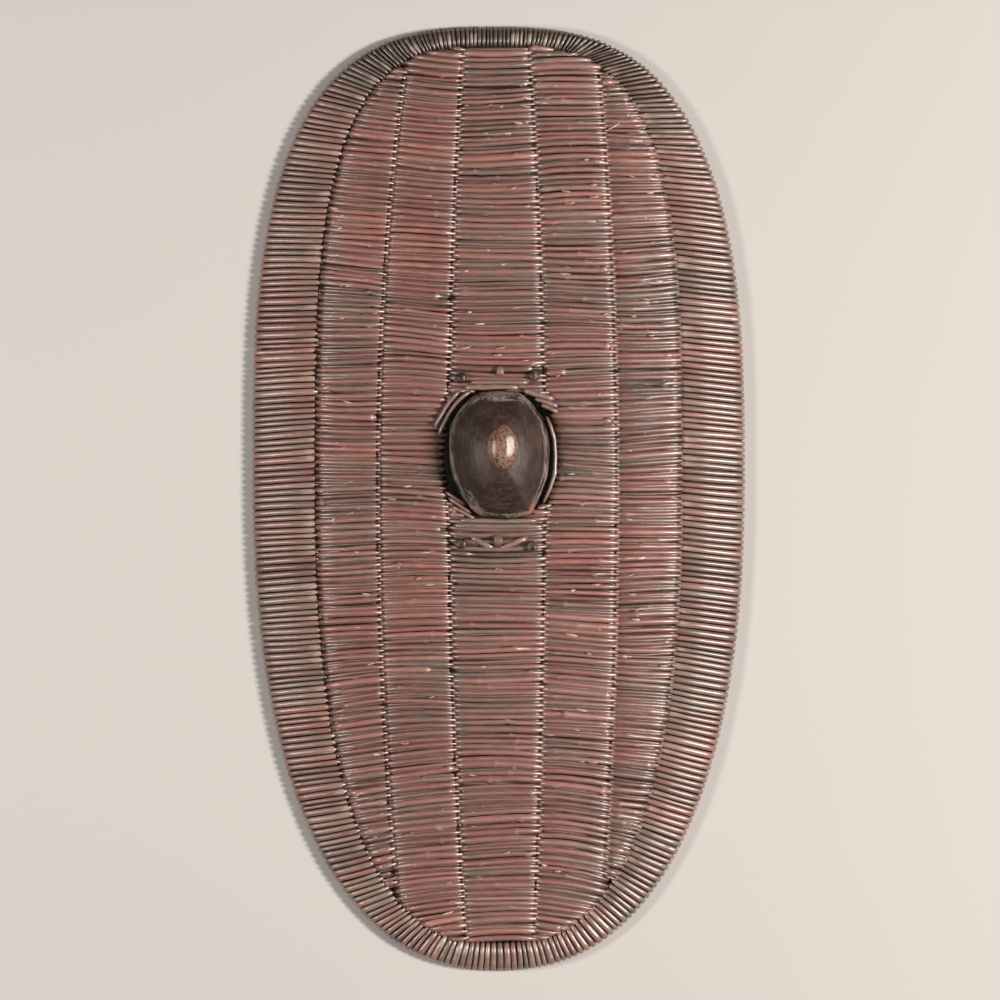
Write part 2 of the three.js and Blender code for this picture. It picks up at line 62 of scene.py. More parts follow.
BOSS_Y = 51.0
BOSS_HALF_WIDTH = 57.0
BOSS_HALF_LENGTH = 71.5
HOLE_LEFT = 61.0
HOLE_RIGHT = 66.0
HOLE_HALF_LENGTH = 74.0
HOLE_POWER = 2.7

STRAND_PITCH = 7.0
CANE_SPREAD = 0.13
RIDGE_HEIGHT = 6.5
FAN_UPPER_LEFT = 0.05
FAN_UPPER_RIGHT = 0.012
FAN_LOWER = 0.085
FAN_FULL_DEPTH = 400.0
SLIVER_LENGTHS = (5.0, 17.0)
SLIVER_HALF_WIDTHS = (1.1, 2.1)
SLIVER_HALF_HEIGHTS = (0.8, 1.3)
SPLINT_HALF_HEIGHT = 1.4
# A dark sheet at the mid surface, between front and back strands: painted shade seen through the gaps.
SHADE_SHEET_HALF = 0.9
SHADE_SHEET_TONE = (0.3, 0.2, 0.16, 0.0)

PHOTO_CENTRE = (498.5, 499.0)
MM_PER_PIXEL = 1.13


def linked(name: str, data: bpy.types.ID) -> bpy.types.Object:
    """A new object at the origin, linked to the scene."""
    made = bpy.data.objects.new(name, data)
    bpy.context.scene.collection.objects.link(made)
    return made


def from_photo(x: float, y: float) -> tuple[float, float]:
    """The place on the shield, in millimetres, of a pixel of the photograph."""
    return (x - PHOTO_CENTRE[0]) * MM_PER_PIXEL, (PHOTO_CENTRE[1] - y) * MM_PER_PIXEL


def points_from_photo(pixels: tuple | Array) -> Array:
    """Places on the shield, as rows of x and y, of rows of x and y in the photograph."""
    return np.stack(from_photo(*np.transpose(pixels)), axis=-1)


def smooth_step(value: Array, low: float, high: float) -> Array:
    """0 below low and 1 above high, with an S-shaped way between: s * s * (3 - 2 s)."""
    share = np.clip((value - low) / (high - low), 0, 1)
    return share * share * (3 - 2 * share)


def hump(value: Array, middle: float | Array, width: float) -> Array:
    """1 at the middle and falling off on both sides: exp(-((value - middle) / width)^2)."""
    return np.exp(-(((value - middle) / width) ** 2))


def directions(count: int) -> Array:
    """That many directions evenly round a circle, in radians."""
    return np.linspace(0, math.tau, count, endpoint=False)


def superellipse(angle: Array, power: float, half_width: float | Array = 1.0,
                 half_length: float | Array = 1.0) -> Array:
    """Radius of a superellipse in given directions.

    Args:
        angle: the directions.
        power: how square it is, with 2 for an ellipse.
        half_width: its reach along X.
        half_length: its reach along Y.

    Returns:
        (|cos / half width|^p + |sin / half length|^p)^(-1/p), with the power p.
    """
    across = np.abs(np.cos(angle) / half_width) ** power
    along = np.abs(np.sin(angle) / half_length) ** power
    return (across + along) ** (-1 / power)


def last_inside(test: Callable[[Array], Array], inside: Array, outside: Array) -> Array:
    """Halve the way between values that pass a test and values that don't.

    Args:
        test: says of an array of values which pass.
        inside: values that pass.
        outside: values that don't.

    Returns:
        The last values, on the way outwards, that still pass.
    """
    near = np.array(inside, dtype=float)
    far = np.array(outside, dtype=float)
    for _ in range(HALVINGS):
        middle = (near + far) / 2
        passes = test(middle)
        near = np.where(passes, middle, near)
        far = np.where(passes, far, middle)
    return near


def run_of_values(rng: np.random.Generator, count: int, clump: int) -> Array:
    """Random values of spread 1, one for each thing of a row, that change slowly over clumps of them."""
    knots = rng.normal(size=count // clump + 3)
    return np.interp(np.arange(count) / clump, np.arange(len(knots)), knots)


def uneven(rng: np.random.Generator, count: int, clump: int, slow: float, quick: float) -> Array:
    """Random values for a row of things, with a slow spread that clumps share and a quick one of each."""
    return slow * run_of_values(rng, count, clump) + quick * rng.normal(size=count)


def cane_sizes(rng: np.random.Generator, count: int) -> Array:
    """Sizes of uneven canes about 1, none of them further off than twice the spread."""
    return 1 + CANE_SPREAD * np.clip(rng.normal(size=count), -2, 2)


@dataclass(frozen=True)
class Outline:
    """Four quarters of a superellipse that meet at the shield's widest level."""

    half_width: float
    top: float
    bottom: float
    upper_left: float
    upper_right: float
    lower: float
    widest_y: float = 33.0

    def level(self, x: Array, y: Array) -> Array:
        """Give 0 at the middle of the widest level and 1 on the outline.

        Args:
            x: places across the shield.
            y: places along it.

        Returns:
            (|x / half width|^p + |rise / reach|^p)^(1/p), with the power p of the quarter.
        """
        rise = y - self.widest_y
        upper = np.where(x < 0, self.upper_left, self.upper_right)
        power = np.where(rise > 0, upper, self.lower)
        reach = np.where(rise > 0, self.top - self.widest_y, self.widest_y - self.bottom)
        return (np.abs(x / self.half_width) ** power + np.abs(rise / reach) ** power) ** (1 / power)

    def at(self, angle: Array) -> Array:
        """Points of the outline in directions from the middle of the widest level."""
        way = np.stack([np.cos(angle), np.sin(angle)], axis=-1)
        radius = 1 / self.level(way[..., 0], self.widest_y + way[..., 1])
        return way * radius[..., None] + [0, self.widest_y]

    def normal(self, place: Array) -> Array:
        """Outward normals of the level curves, from differences over half a millimetre."""
        x, y = place[..., 0], place[..., 1]
        step = 0.5
        across = self.level(x + step, y) - self.level(x - step, y)
        along = self.level(x, y + step) - self.level(x, y - step)
        slope = np.stack([across, along], axis=-1)
        return slope / np.linalg.norm(slope, axis=-1, keepdims=True)


SHIELD = Outline(280, 535, -535, 2.97, 2.8, 2.35)
FIELD = Outline(205, 512.5, -504, 3.25, 3.25, 2.55)
RIM_MIDDLE = Outline(242.5, 523.75, -519.5, 3.1, 3.0, 2.45)


def dome_z(x: Array, y: Array) -> Array:
    """Height of the shield's mid surface: it rises late and flat from the edge to the middle."""
    level = np.minimum(SHIELD.level(x, y), 1.0)
    return EDGE_Z + DOME_RISE * (1 - level**DOME_POWER)


def row_y(row: Array, x: Array) -> Array:
    """Height of a row at an x: rows fan out away from the middle by a share of their height.

    Args:
        row: heights of the rows on the middle line.
        x: where along the rows.

    Returns:
        row * (1 + fan * (x / half width)^2), where the fan below grows with the row's depth.
    """
    upper = np.where(x < 0, FAN_UPPER_LEFT, FAN_UPPER_RIGHT)
    fan = np.where(row > 0, upper, FAN_LOWER * np.minimum(np.abs(row) / FAN_FULL_DEPTH, 1.2))
    return row * (1 + fan * (x / FIELD.half_width) ** 2)


def hole_share(y: Array) -> Array:
    """How wide the hole round the boss is at a height, from 0 at its ends to 1 at its middle."""
    rise = np.minimum(np.abs(y - BOSS_Y) / HOLE_HALF_LENGTH, 1.0)
    return (1 - rise**HOLE_POWER) ** (1 / HOLE_POWER)


def lay_rows(seed: int = 21, low: float = -505.0, high: float = 513.0) -> tuple[Array, Array]:
    """Lay rows of uneven canes from the shield's foot to its head.

    Args:
        seed: seed of the unevenness.
        low: where the first row starts.
        high: where the last row ends.

    Returns:
        The rows' heights and their pitches.
    """
    rng = np.random.default_rng(seed)
    count = int((high - low) / STRAND_PITCH)
    pitch = STRAND_PITCH * cane_sizes(rng, count)
    pitch *= (high - low) / pitch.sum()
    return low + np.cumsum(pitch) - pitch / 2, pitch


@dataclass(frozen=True)
class Seam:
    """The line where two columns interlace: bowed outwards, and pushed aside by the boss."""

    middle: float
    top: float
    bottom: float
    bulge: float = 0.0
    middle_y: float = 20.0
    reach: float = 500.0
    bulge_reach: float = 50.0

    def x_at(self, y: Array) -> Array:
        """The seam's x at a height."""
        share = (y - self.middle_y) / self.reach
        end = np.where(share > 0, self.top, self.bottom)
        near_boss = self.bulge * hump(y, BOSS_Y, self.bulge_reach)
        return self.middle + (end - self.middle) * share**2 + near_boss

    def x_of_row(self, row: Array) -> Array:
        """The x where rows meet the seam, settled in three passes."""
        x = self.x_at(row)
        for _ in range(3):
            x = self.x_at(row_y(row, x))
        return x


@dataclass(frozen=True)
class Drift:
    """A slow wander of the rows off their true lines, as a sum of plane waves."""

    seed: int = 11
    waves: int = 7
    shortest: float = 140.0
    longest: float = 380.0
    reach: float = 0.8

    def at(self, x: Array, y: Array) -> Array:
        """The wander at places of the shield, in millimetres."""
        rng = np.random.default_rng(self.seed)
        total = np.zeros(np.broadcast(x, y).shape)
        for _ in range(self.waves):
            wavelength = rng.uniform(self.shortest, self.longest)
            heading = rng.uniform(0, math.tau)
            phase = rng.uniform(0, math.tau)
            run = (x * math.cos(heading) + y * math.sin(heading)) / wavelength
            total += self.reach * np.sin(math.tau * run + phase)
        return total


DRIFT = Drift()


class Section(Enum):
    """Outlines of a strand across its run, as points round it in half widths and half heights."""

    CANE = ((0.97, -0.3), (0.72, 0.66), (0.0, 1.0), (-0.72, 0.66), (-0.97, -0.3), (0.0, -0.7))
    PLAIN_CANE = ((0.95, -0.3), (0.6, 0.75), (-0.6, 0.75), (-0.95, -0.3))
    RIM_CANE = ((0.96, -0.32), (0.68, 0.7), (0.0, 1.0), (-0.68, 0.7), (-0.96, -0.32))
    ROUND = tuple((math.cos(math.tau * i / 10), math.sin(math.tau * i / 10)) for i in range(10))
    SPLINT = (
        (1.0, -0.4), (0.96, 0.3), (0.6, 0.8), (0.2, 0.95),
        (-0.2, 0.9), (-0.6, 0.8), (-0.96, 0.3), (-1.0, -0.4),
    )

    def points(self) -> Array:
        """The outline's points as an array."""
        return np.array(self.value)


@dataclass
class Shell:
    """Gathers rings of points into one closed mesh, with what its material reads from each point.

    The attribute "grain" holds how far a point lies along and across its strand, and a number of the
    strand's own. The attribute "tone" holds a strand's colour pick and lightness, how near a point is to
    its crown less the painted shade laid on it, and how worn it is.
    """

    points: list[Array] = field(default_factory=list)
    grains: list[Array] = field(default_factory=list)
    tones: list[Array] = field(default_factory=list)
    corners: list[Array] = field(default_factory=list)
    corner_counts: list[Array] = field(default_factory=list)
    total: int = 0

    def add_rings(self, rings: Array, grain: Array | None = None, tone: Array | float = 0.0,
                  closed: bool = False) -> None:
        """Join rings of points into tubes.

        Args:
            rings: points as tubes x stations x points round x 3, anticlockwise against the tube's run.
            grain: the same shape, values of the attribute "grain", or nothing for the points themselves.
            tone: tubes x stations x points round x 4, values of the attribute "tone".
            closed: whether the last station joins the first, in place of two caps.
        """
        tubes, stations, around = rings.shape[:3]
        index = self.total + np.arange(tubes * stations * around).reshape(tubes, stations, around)
        self.total += index.size
        here = index if closed else index[:, :-1]
        following = np.roll(index, -1, axis=1) if closed else index[:, 1:]
        corners = [here, np.roll(here, -1, axis=2), np.roll(following, -1, axis=2), following]
        quads = np.stack(corners, axis=-1)
        self.corners.append(quads.reshape(-1))
        self.corner_counts.append(np.full(quads.size // 4, 4))
        if not closed:
            caps = np.concatenate([index[:, 0, ::-1], index[:, -1]])
            self.corners.append(caps.reshape(-1))
            self.corner_counts.append(np.full(len(caps), around))
        self.points.append(rings.reshape(-1, 3))
        self.grains.append(np.broadcast_to(rings if grain is None else grain, rings.shape).reshape(-1, 3))
        self.tones.append(np.broadcast_to(tone, (*rings.shape[:3], 4)).reshape(-1, 4))

    def piece(self, name: str, material: bpy.types.Material) -> bpy.types.Object:
        """Make the object, smooth, at the origin, and link it to the scene.

        Args:
            name: the piece's name.
            material: its finish.

        Returns:
            The new object, riding on the shield's body.
        """
        points = np.concatenate(self.points) * METRES
        corners = np.concatenate(self.corners)
        counts = np.concatenate(self.corner_counts)
        mesh = bpy.data.meshes.new(name)
        mesh.vertices.add(len(points))
        mesh.vertices.foreach_set("co", points.astype(np.float32).ravel())
        mesh.loops.add(len(corners))
        mesh.loops.foreach_set("vertex_index", corners.astype(np.int32))
        mesh.polygons.add(len(counts))
        mesh.polygons.foreach_set("loop_start", (np.cumsum(counts) - counts).astype(np.int32))
        mesh.update(calc_edges=True)
        mesh.polygons.foreach_set("use_smooth", np.ones(len(counts), dtype=bool))
        grain = mesh.attributes.new("grain", "FLOAT_VECTOR", "POINT")
        grain.data.foreach_set("vector", np.concatenate(self.grains).astype(np.float32).ravel())
        tone = mesh.attributes.new("tone", "FLOAT_COLOR", "POINT")
        tone.data.foreach_set("color", np.concatenate(self.tones).astype(np.float32).ravel())
        mesh.materials.append(material)
        made = linked(name, mesh)
        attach(made, BODY)
        LOG.info("%s: %d faces", name, len(counts))
        return made


def plan_side(path: Array) -> Array:
    """Unit vectors level with the floor, to the left of a path's run."""
    run = np.gradient(path, axis=1)
    side = np.stack([-run[..., 1], run[..., 0], np.zeros(run.shape[:2])], axis=-1)
    return side / np.linalg.norm(side, axis=-1, keepdims=True)


@dataclass
class Strands:
    """A batch of cane strands: one section carried along many paths at once."""

    path: Array
    side: Array
    half_width: Array
    half_height: Array
    pick: Array
    light: Array
    wear: Array
    # How much painted shade lies on each station: at 1 it takes the dark colour between strands.
    painted_shade: Array
    section: Section = Section.CANE

    def add_to(self, shell: Shell, number: int = 0) -> None:
        """Sweep the section along the paths: path + side * half width + up * half height.

        Up is the run of the strand crossed with its side, so it turns over with a path that bends
        round an edge.

        Args:
            shell: the mesh that the strands join.
            number: the first strand's own number, which shifts its grain.
        """
        run = np.gradient(self.path, axis=1)
        run /= np.linalg.norm(run, axis=-1, keepdims=True)
        up = np.cross(run, self.side)
        up /= np.linalg.norm(up, axis=-1, keepdims=True)
        section = self.section.points()
        across = self.half_width[..., None] * section[:, 0]
        rise = self.half_height[..., None] * section[:, 1]
        rings = self.path[:, :, None] + self.side[:, :, None] * across[..., None]
        rings = rings + up[:, :, None] * rise[..., None]
        step = np.linalg.norm(np.diff(self.path, axis=1, prepend=self.path[:, :1]), axis=-1)
        along = np.cumsum(step, axis=1)
        own = number + np.arange(len(step))
        grain = np.stack(np.broadcast_arrays(
            (along + own[:, None] * 37.0)[..., None], across, own[:, None, None] * 1.7,
        ), axis=-1)
        lowest = section[:, 1].min()
        crown = (section[:, 1] - lowest) / (1 - lowest)
        # Blue: height on the section less the painted shade, which the material paints darker where it is
        # low.
        tone = np.stack(np.broadcast_arrays(
            self.pick[:, None, None],
            self.light[:, None, None],
            crown * (1 - self.painted_shade[..., None]),
            self.wear[..., None] * np.ones(len(section)),
        ), axis=-1)
        shell.add_rings(rings, grain, tone)


@dataclass
class Hands:
    """What handwork and wear do to a batch of strands: knots, breaks, sunken rows and varied canes."""

    rng: np.random.Generator
    count: int
    knot_share: float = 0.36
    knot_reach: float = 3.2
    break_share: float = 0.025
    break_reach: float = 2.0
    sunk_share: float = 0.06
    sunk_depth: float = 1.8
    sunk_jitter: float = 0.32
    pick_spread: tuple[int, float, float] = (6, 0.1, 0.13)
    light_spread: tuple[int, float, float] = (5, 0.08, 0.14)

    def __post_init__(self) -> None:
        """Choose which strands have a knot or a break, and where along them."""
        self.knot_place = self.rng.uniform(0.1, 0.9, self.count)
        self.has_knot = self.rng.random(self.count) < self.knot_share
        self.has_break = self.rng.random(self.count) < self.break_share

    def shares(self, base: Array, length: Array) -> Array:
        """Stations along each strand: common ones, and three at its knot or break.

        Args:
            base: shares of the length where every strand has a station.
            length: the strands' lengths.

        Returns:
            Shares of the length, as strands x stations.
        """
        reach = (self.knot_reach / length)[:, None] * np.array([-1.0, 0.0, 1.0])
        extra = np.clip(self.knot_place[:, None] + reach, 0.01, 0.99)
        common = np.broadcast_to(base, (self.count, len(base)))
        return np.sort(np.concatenate([common, extra], axis=1), axis=1)

    def knots(self, along: Array, length: Array) -> Array:
        """Bumps at the cane's own joints: 1 at the middle of a knot and 0 away from it."""
        place = (self.knot_place * length)[:, None]
        return (self.has_knot & ~self.has_break)[:, None] * hump(along, place, self.knot_reach)

    def breaks(self, along: Array, length: Array) -> tuple[Array, Array]:
        """Where a strand has snapped and its far part has dropped out.

        Args:
            along: distance of each station from the strand's start.
            length: the strands' lengths.

        Returns:
            1 on the part that is gone, easing to 0 over the break, and 1 on the pale broken end.
        """
        past = (along - (self.knot_place * length)[:, None]) / self.break_reach
        gone = self.has_break[:, None] * smooth_step(past, -0.4, 1.0)
        end = self.has_break[:, None] * hump(past, -0.6, 1.0)
        return gone, end

    def sunk(self) -> Array:
        """How far each strand lies below its neighbours."""
        deep = self.sunk_depth * (self.rng.random(self.count) < self.sunk_share)
        return deep + self.sunk_jitter * self.rng.normal(size=self.count)

    def pick(self) -> Array:
        """Each strand's place in the palette, in clumps of like canes."""
        return np.clip(0.5 + uneven(self.rng, self.count, *self.pick_spread), 0, 1)

    def light(self) -> Array:
        """Each strand's lightness."""
        return np.clip(0.5 + uneven(self.rng, self.count, *self.light_spread), 0, 1)


@dataclass(frozen=True)
class Layer:
    """One layer of strands in a column: how it lies, and how finely it is made.

    Its face is 1 in front and -1 behind, its offset is a share of the pitch, and its crest and its dives
    at the left and right ends are heights over the mid surface. Greyness moves its strands' colours away
    from red, and shade is painted shade laid over the whole layer.
    """

    face: int
    offset: float
    crest: float
    dives: tuple[float, float]
    width: float
    half_height: float
    section: Section
    shares: tuple[float, ...]
    worked: bool = False
    greyness: float = 0.0
    shade: float = 0.0


FRONT_LAYER = Layer(
    face=1, offset=0.0, crest=3.6, dives=(-2.2, -0.9), width=0.92, half_height=3.4, section=Section.CANE,
    shares=(0.0, 0.05, 0.12, 0.3, 0.7, 0.86, 0.92, 0.965, 1.0), worked=True,
)
# The under layer lies between the front strands, with painted shade laid over it.
UNDER_LAYER = Layer(
    face=1, offset=0.5, crest=1.1, dives=(-1.6, -2.0), width=0.62, half_height=2.0, section=Section.CANE,
    shares=(0.0, 0.12, 0.5, 0.88, 1.0), greyness=0.3, shade=0.4,
)
BACK_LAYER = Layer(
    face=-1, offset=0.5, crest=3.3, dives=(-3.0, -3.0), width=1.0, half_height=3.1,
    section=Section.PLAIN_CANE, shares=(0.0, 0.1, 0.5, 0.9, 1.0),
)


def add_sheet(shell: Shell, x: Array, y: Array, closed: bool) -> None:
    """Add a dark sheet of painted shade about the mid surface, as one flat tube.

    Args:
        shell: the mesh that it joins.
        x: places across the shield, as stations x points to the right of the stations' run.
        y: places along it, the same shape.
        closed: whether its last station joins its first.
    """
    z = dome_z(x, y)
    top = np.stack([x, y, z + SHADE_SHEET_HALF], axis=-1)
    under = np.stack([x, y, z - SHADE_SHEET_HALF], axis=-1)
    rings = np.concatenate([top, under[:, ::-1]], axis=1)[None]
    shell.add_rings(rings, rings * [1.0, 1.0, 0.0], np.array(SHADE_SHEET_TONE), closed)


@dataclass
class WeaveColumn:
    """One column of the weave: front and back strands that arch over it, and a dark sheet of painted
    shade.

    Its tilt and bend each say how many strands a clump has, and how far clumps and single strands stray.
    Values in pairs are for the left ends and the right ends.
    """

    node: str
    left: Seam
    right: Seam
    shift: float
    seed: int
    low: float = -600.0
    high: float = 600.0
    redness: float = 0.0
    splinters: int = 34
    splints: tuple[tuple[float, ...], ...] = ()
    overrun: float = 2.6
    shoulders: tuple[float, float] = (8.0, 10.4)
    ramp: float = 1.3
    lowest: float = -1.5
    crown: float = 0.5
    tilt: tuple[int, float, float] = (4, 0.55, 0.35)
    bend: tuple[int, float, float] = (7, 0.75, 0.35)
    end_width: float = 0.7
    end_height: float = 0.74
    # Painted shade at the strands' left and right ends, where they dive into the seams.
    end_shade: tuple[float, float] = (0.8, 0.3)
    knot_swell: float = 0.14
    knot_wear: float = 0.3
    break_wear: float = 0.55
    knot_rise: float = 0.5
    gone_drop: float = 2.2
    shortest: float = 8.0
    sliver_lift: float = 6.7
    splint_lift: float = 6.9

    def rows(self, offset: float) -> tuple[Array, Array]:
        """Heights and pitches of the rows that this column holds, moved by a share of their pitch."""
        rows, pitch = lay_rows()
        rows = rows + (self.shift + offset) * pitch
        held = (rows > self.low) & (rows < self.high)
        return rows[held], pitch[held]

    def spans(self, rows: Array) -> tuple[Array, Array, Array]:
        """Find where rows start and stop: at their seams, at the rim or at the hole round the boss.

        Args:
            rows: heights of the rows.

        Returns:
            The index of each span's row, and its left and right x.
        """
        left = self.left.x_of_row(rows)
        right = self.right.x_of_row(rows)
        start = np.clip(0.0, left, right)

        def in_field(x: Array) -> Array:
            return FIELD.level(x, row_y(rows, x)) < 1

        left = np.where(in_field(left), left, last_inside(in_field, start, left))
        right = np.where(in_field(right), right, last_inside(in_field, start, right))
        hole = hole_share(rows)
        index = np.arange(len(rows))
        cut = (hole > 0) & (left < HOLE_RIGHT * hole) & (right > -HOLE_LEFT * hole)
        groups = [
            (index[~cut], left[~cut], right[~cut]),
            (index[cut], left[cut], -HOLE_LEFT * hole[cut]),
            (index[cut], HOLE_RIGHT * hole[cut], right[cut]),
        ]
        index, left, right = (np.concatenate(group) for group in zip(*groups))
        middle = (left + right) / 2
        kept = (right - left > self.shortest) & (FIELD.level(middle, row_y(rows[index], middle)) < 1)
        return index[kept], left[kept], right[kept]

    def strands(self, layer: Layer) -> Strands:
        """Work out the strands of one layer: arches from seam to seam, with both ends tucked in.

        A strand's height over the mid surface is its dive at the ends and its crest between its
        shoulders, and a little more in the middle. Its left end rises by a quarter sine and its right
        end by 1 - (1 - climb)^ramp, from a dive lowered by what the dome itself rises there.

        Args:
            layer: how the layer lies and how finely it is made.

        Returns:
            The strands of that layer.
        """
        rng = np.random.default_rng([self.seed, round(layer.crest * 10), layer.face + 1])
        rows, pitch = self.rows(layer.offset)
        index, left, right = self.spans(rows)
        rows, pitch = rows[index], pitch[index]
        count = len(rows)
        hands = Hands(rng, count) if layer.worked else Hands(rng, count, knot_share=0.0, break_share=0.0)
        length = right - left + 2 * self.overrun
        base = np.array(layer.shares)
        share = hands.shares(base, length) if layer.worked else np.tile(base, (count, 1))
        along = length[:, None] * share
        x = (left - self.overrun)[:, None] + along
        tilt = uneven(rng, count, *self.tilt)[:, None]
        bend = uneven(rng, count, *self.bend)[:, None]
        swing = 2 * share - 1
        y = row_y(rows[:, None], x)
        y = y + DRIFT.at(x, y) + tilt * swing + bend * (1 - swing**2)
        nearest = np.minimum(along, length[:, None] - along)
        shoulder = np.where(swing < 0, *self.shoulders) + self.overrun
        climb = np.clip(nearest / shoulder, 0, 1)
        arch = np.where(swing < 0, np.sin(0.5 * math.pi * climb), 1 - (1 - climb) ** self.ramp)
        knot = hands.knots(along, length)
        gone, broken = hands.breaks(along, length)
        lean = dome_z(x[:, -1:], y[:, -1:]) - dome_z(x[:, -1:] - self.shoulders[1], y[:, -1:])
        dive = np.where(swing < 0, layer.dives[0], np.maximum(layer.dives[1] - lean, self.lowest))
        lift = dive + (layer.crest - dive) * arch + self.crown * (1 - swing**2) * arch
        lift = lift - hands.sunk()[:, None] * arch + self.knot_rise * knot - self.gone_drop * gone * arch
        y = y + knot * rng.normal(size=count)[:, None]
        path = np.stack([x, y, dome_z(x, y) + layer.face * lift], axis=-1)
        own_width = np.clip(1 + CANE_SPREAD * rng.normal(size=(count, 1)), 0.7, 1.25)
        width = self.end_width + 0.32 * arch + self.knot_swell * knot - 0.3 * gone
        height = self.end_height + (1 - self.end_height) * arch + self.knot_swell * knot - 0.25 * gone
        # Painted shade where the ends dive into the seams, heavier at the left ends, which rise from under
        # the next column and face away from the key light; also on a broken strand's dropped part and a
        # shaded layer.
        end = np.where(swing < 0, *self.end_shade) * (1 - arch) ** 2
        return Strands(
            path=path,
            side=layer.face * plan_side(path),
            half_width=pitch[:, None] / 2 * layer.width * own_width * width,
            half_height=layer.half_height * height,
            pick=np.clip(hands.pick() - layer.greyness + self.redness, 0, 1),
            light=hands.light(),
            wear=np.clip(self.knot_wear * knot + self.break_wear * broken, 0, 1),
            painted_shade=np.clip(end + 0.4 * gone + layer.shade, 0, 1),
            section=layer.section,
        )

    def slivers(self) -> Strands:
        """Scatter pale splinters of split cane over the column, each a short sliver at its own angle."""
        rng = np.random.default_rng(self.seed + 500)
        rows, _ = self.rows(0.0)
        index, left, right = self.spans(rows)
        chosen = rng.integers(0, len(index), self.splinters)
        middle = left[chosen] + (right - left)[chosen] * rng.uniform(0.08, 0.92, self.splinters)
        length = rng.uniform(*SLIVER_LENGTHS, self.splinters)[:, None]
        swing = np.linspace(-1, 1, 5)
        x = middle[:, None] + 0.5 * length * swing
        slope = rng.normal(0, 0.16, (self.splinters, 1))
        y = row_y(rows[index[chosen], None], x) + slope * (x - middle[:, None]) + 0.6 * swing**2
        lift = self.sliver_lift - 1.5 * swing**2 + rng.uniform(-0.7, 0.4, (self.splinters, 1))
        path = np.stack([x, y, dome_z(x, y) + lift], axis=-1)
        taper = 1 - 0.75 * np.abs(swing) ** 1.5
        return Strands(
            path=path,
            side=plan_side(path),
            half_width=rng.uniform(*SLIVER_HALF_WIDTHS, (self.splinters, 1)) * taper,
            half_height=rng.uniform(*SLIVER_HALF_HEIGHTS, (self.splinters, 1)) * taper,
            pick=rng.uniform(0.1, 0.5, self.splinters),
            light=rng.uniform(0.7, 1.0, self.splinters),
            wear=np.broadcast_to(rng.uniform(0.0, 0.8, (self.splinters, 1)) ** 1.4, x.shape),
            painted_shade=np.zeros(x.shape),
            section=Section.PLAIN_CANE,
        )

    def laid_splints(self) -> Strands:
        """Lay the flat splints that cross the weave near the boss."""
        ends = np.array(self.splints)
        count = len(ends)
        start = points_from_photo(ends[:, :2])
        stop = points_from_photo(ends[:, 2:4])
        share = np.linspace(0, 1, 9)
        plan = start[:, None] + (stop - start)[:, None] * share[:, None]
        x, y = plan[..., 0], plan[..., 1]
        lift = self.splint_lift - 3.0 * np.abs(2 * share - 1) ** 4
        path = np.stack([x, y, dome_z(x, y) + lift], axis=-1)
        width = np.ones(len(share)) - 0.25 * np.abs(2 * share - 1) ** 3
        return Strands(
            path=path,
            side=plan_side(path),
            half_width=ends[:, 4:] * MM_PER_PIXEL * width,
            half_height=np.full(x.shape, SPLINT_HALF_HEIGHT),
            pick=np.linspace(0.25, 0.5, count),
            light=np.full(count, 0.5),
            wear=np.full(x.shape, 0.12),
            # A little painted shade over the whole splint.
            painted_shade=np.full(x.shape, 0.1),
            section=Section.SPLINT,
        )

    def add_shade_sheet(self, shell: Shell) -> None:
        """Fill the column's middle with dark painted shade, a sheet for each unbroken run of rows."""
        rows, _ = self.rows(0.0)
        index, left, right = self.spans(rows)
        stops = np.flatnonzero(np.diff(index) != 1) + 1
        for run in np.split(np.arange(len(index)), stops):
            if len(run) > 1:
                share = np.linspace(0.0, 1.0, 5)
                x = left[run, None] + (right - left)[run, None] * share
                add_sheet(shell, x, row_y(rows[index[run], None], x), closed=False)

    def build(self, finish: bpy.types.Material) -> None:
        """Make the column's mesh, to stand for its CAD node."""
        shell = Shell()
        first = self.seed * 1000
        for number, layer in enumerate((FRONT_LAYER, UNDER_LAYER, BACK_LAYER)):
            self.strands(layer).add_to(shell, number=first + number * 300)
        self.slivers().add_to(shell, number=first + 900)
        if self.splints:
            self.laid_splints().add_to(shell, number=first + 950)
        self.add_shade_sheet(shell)
        piece = shell.piece(f"{self.node}_strands", finish)
        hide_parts(self.node)


SEAM_OUTER_LEFT = Seam(-135, -101, -112)
SEAM_INNER_LEFT = Seam(-55, -39, -37, bulge=-9)
SEAM_INNER_RIGHT = Seam(53, 35, 42, bulge=13)
SEAM_OUTER_RIGHT = Seam(134, 112, 118)
OPEN_LEFT = Seam(-280, -280, -280)
OPEN_RIGHT = Seam(280, 280, 280)


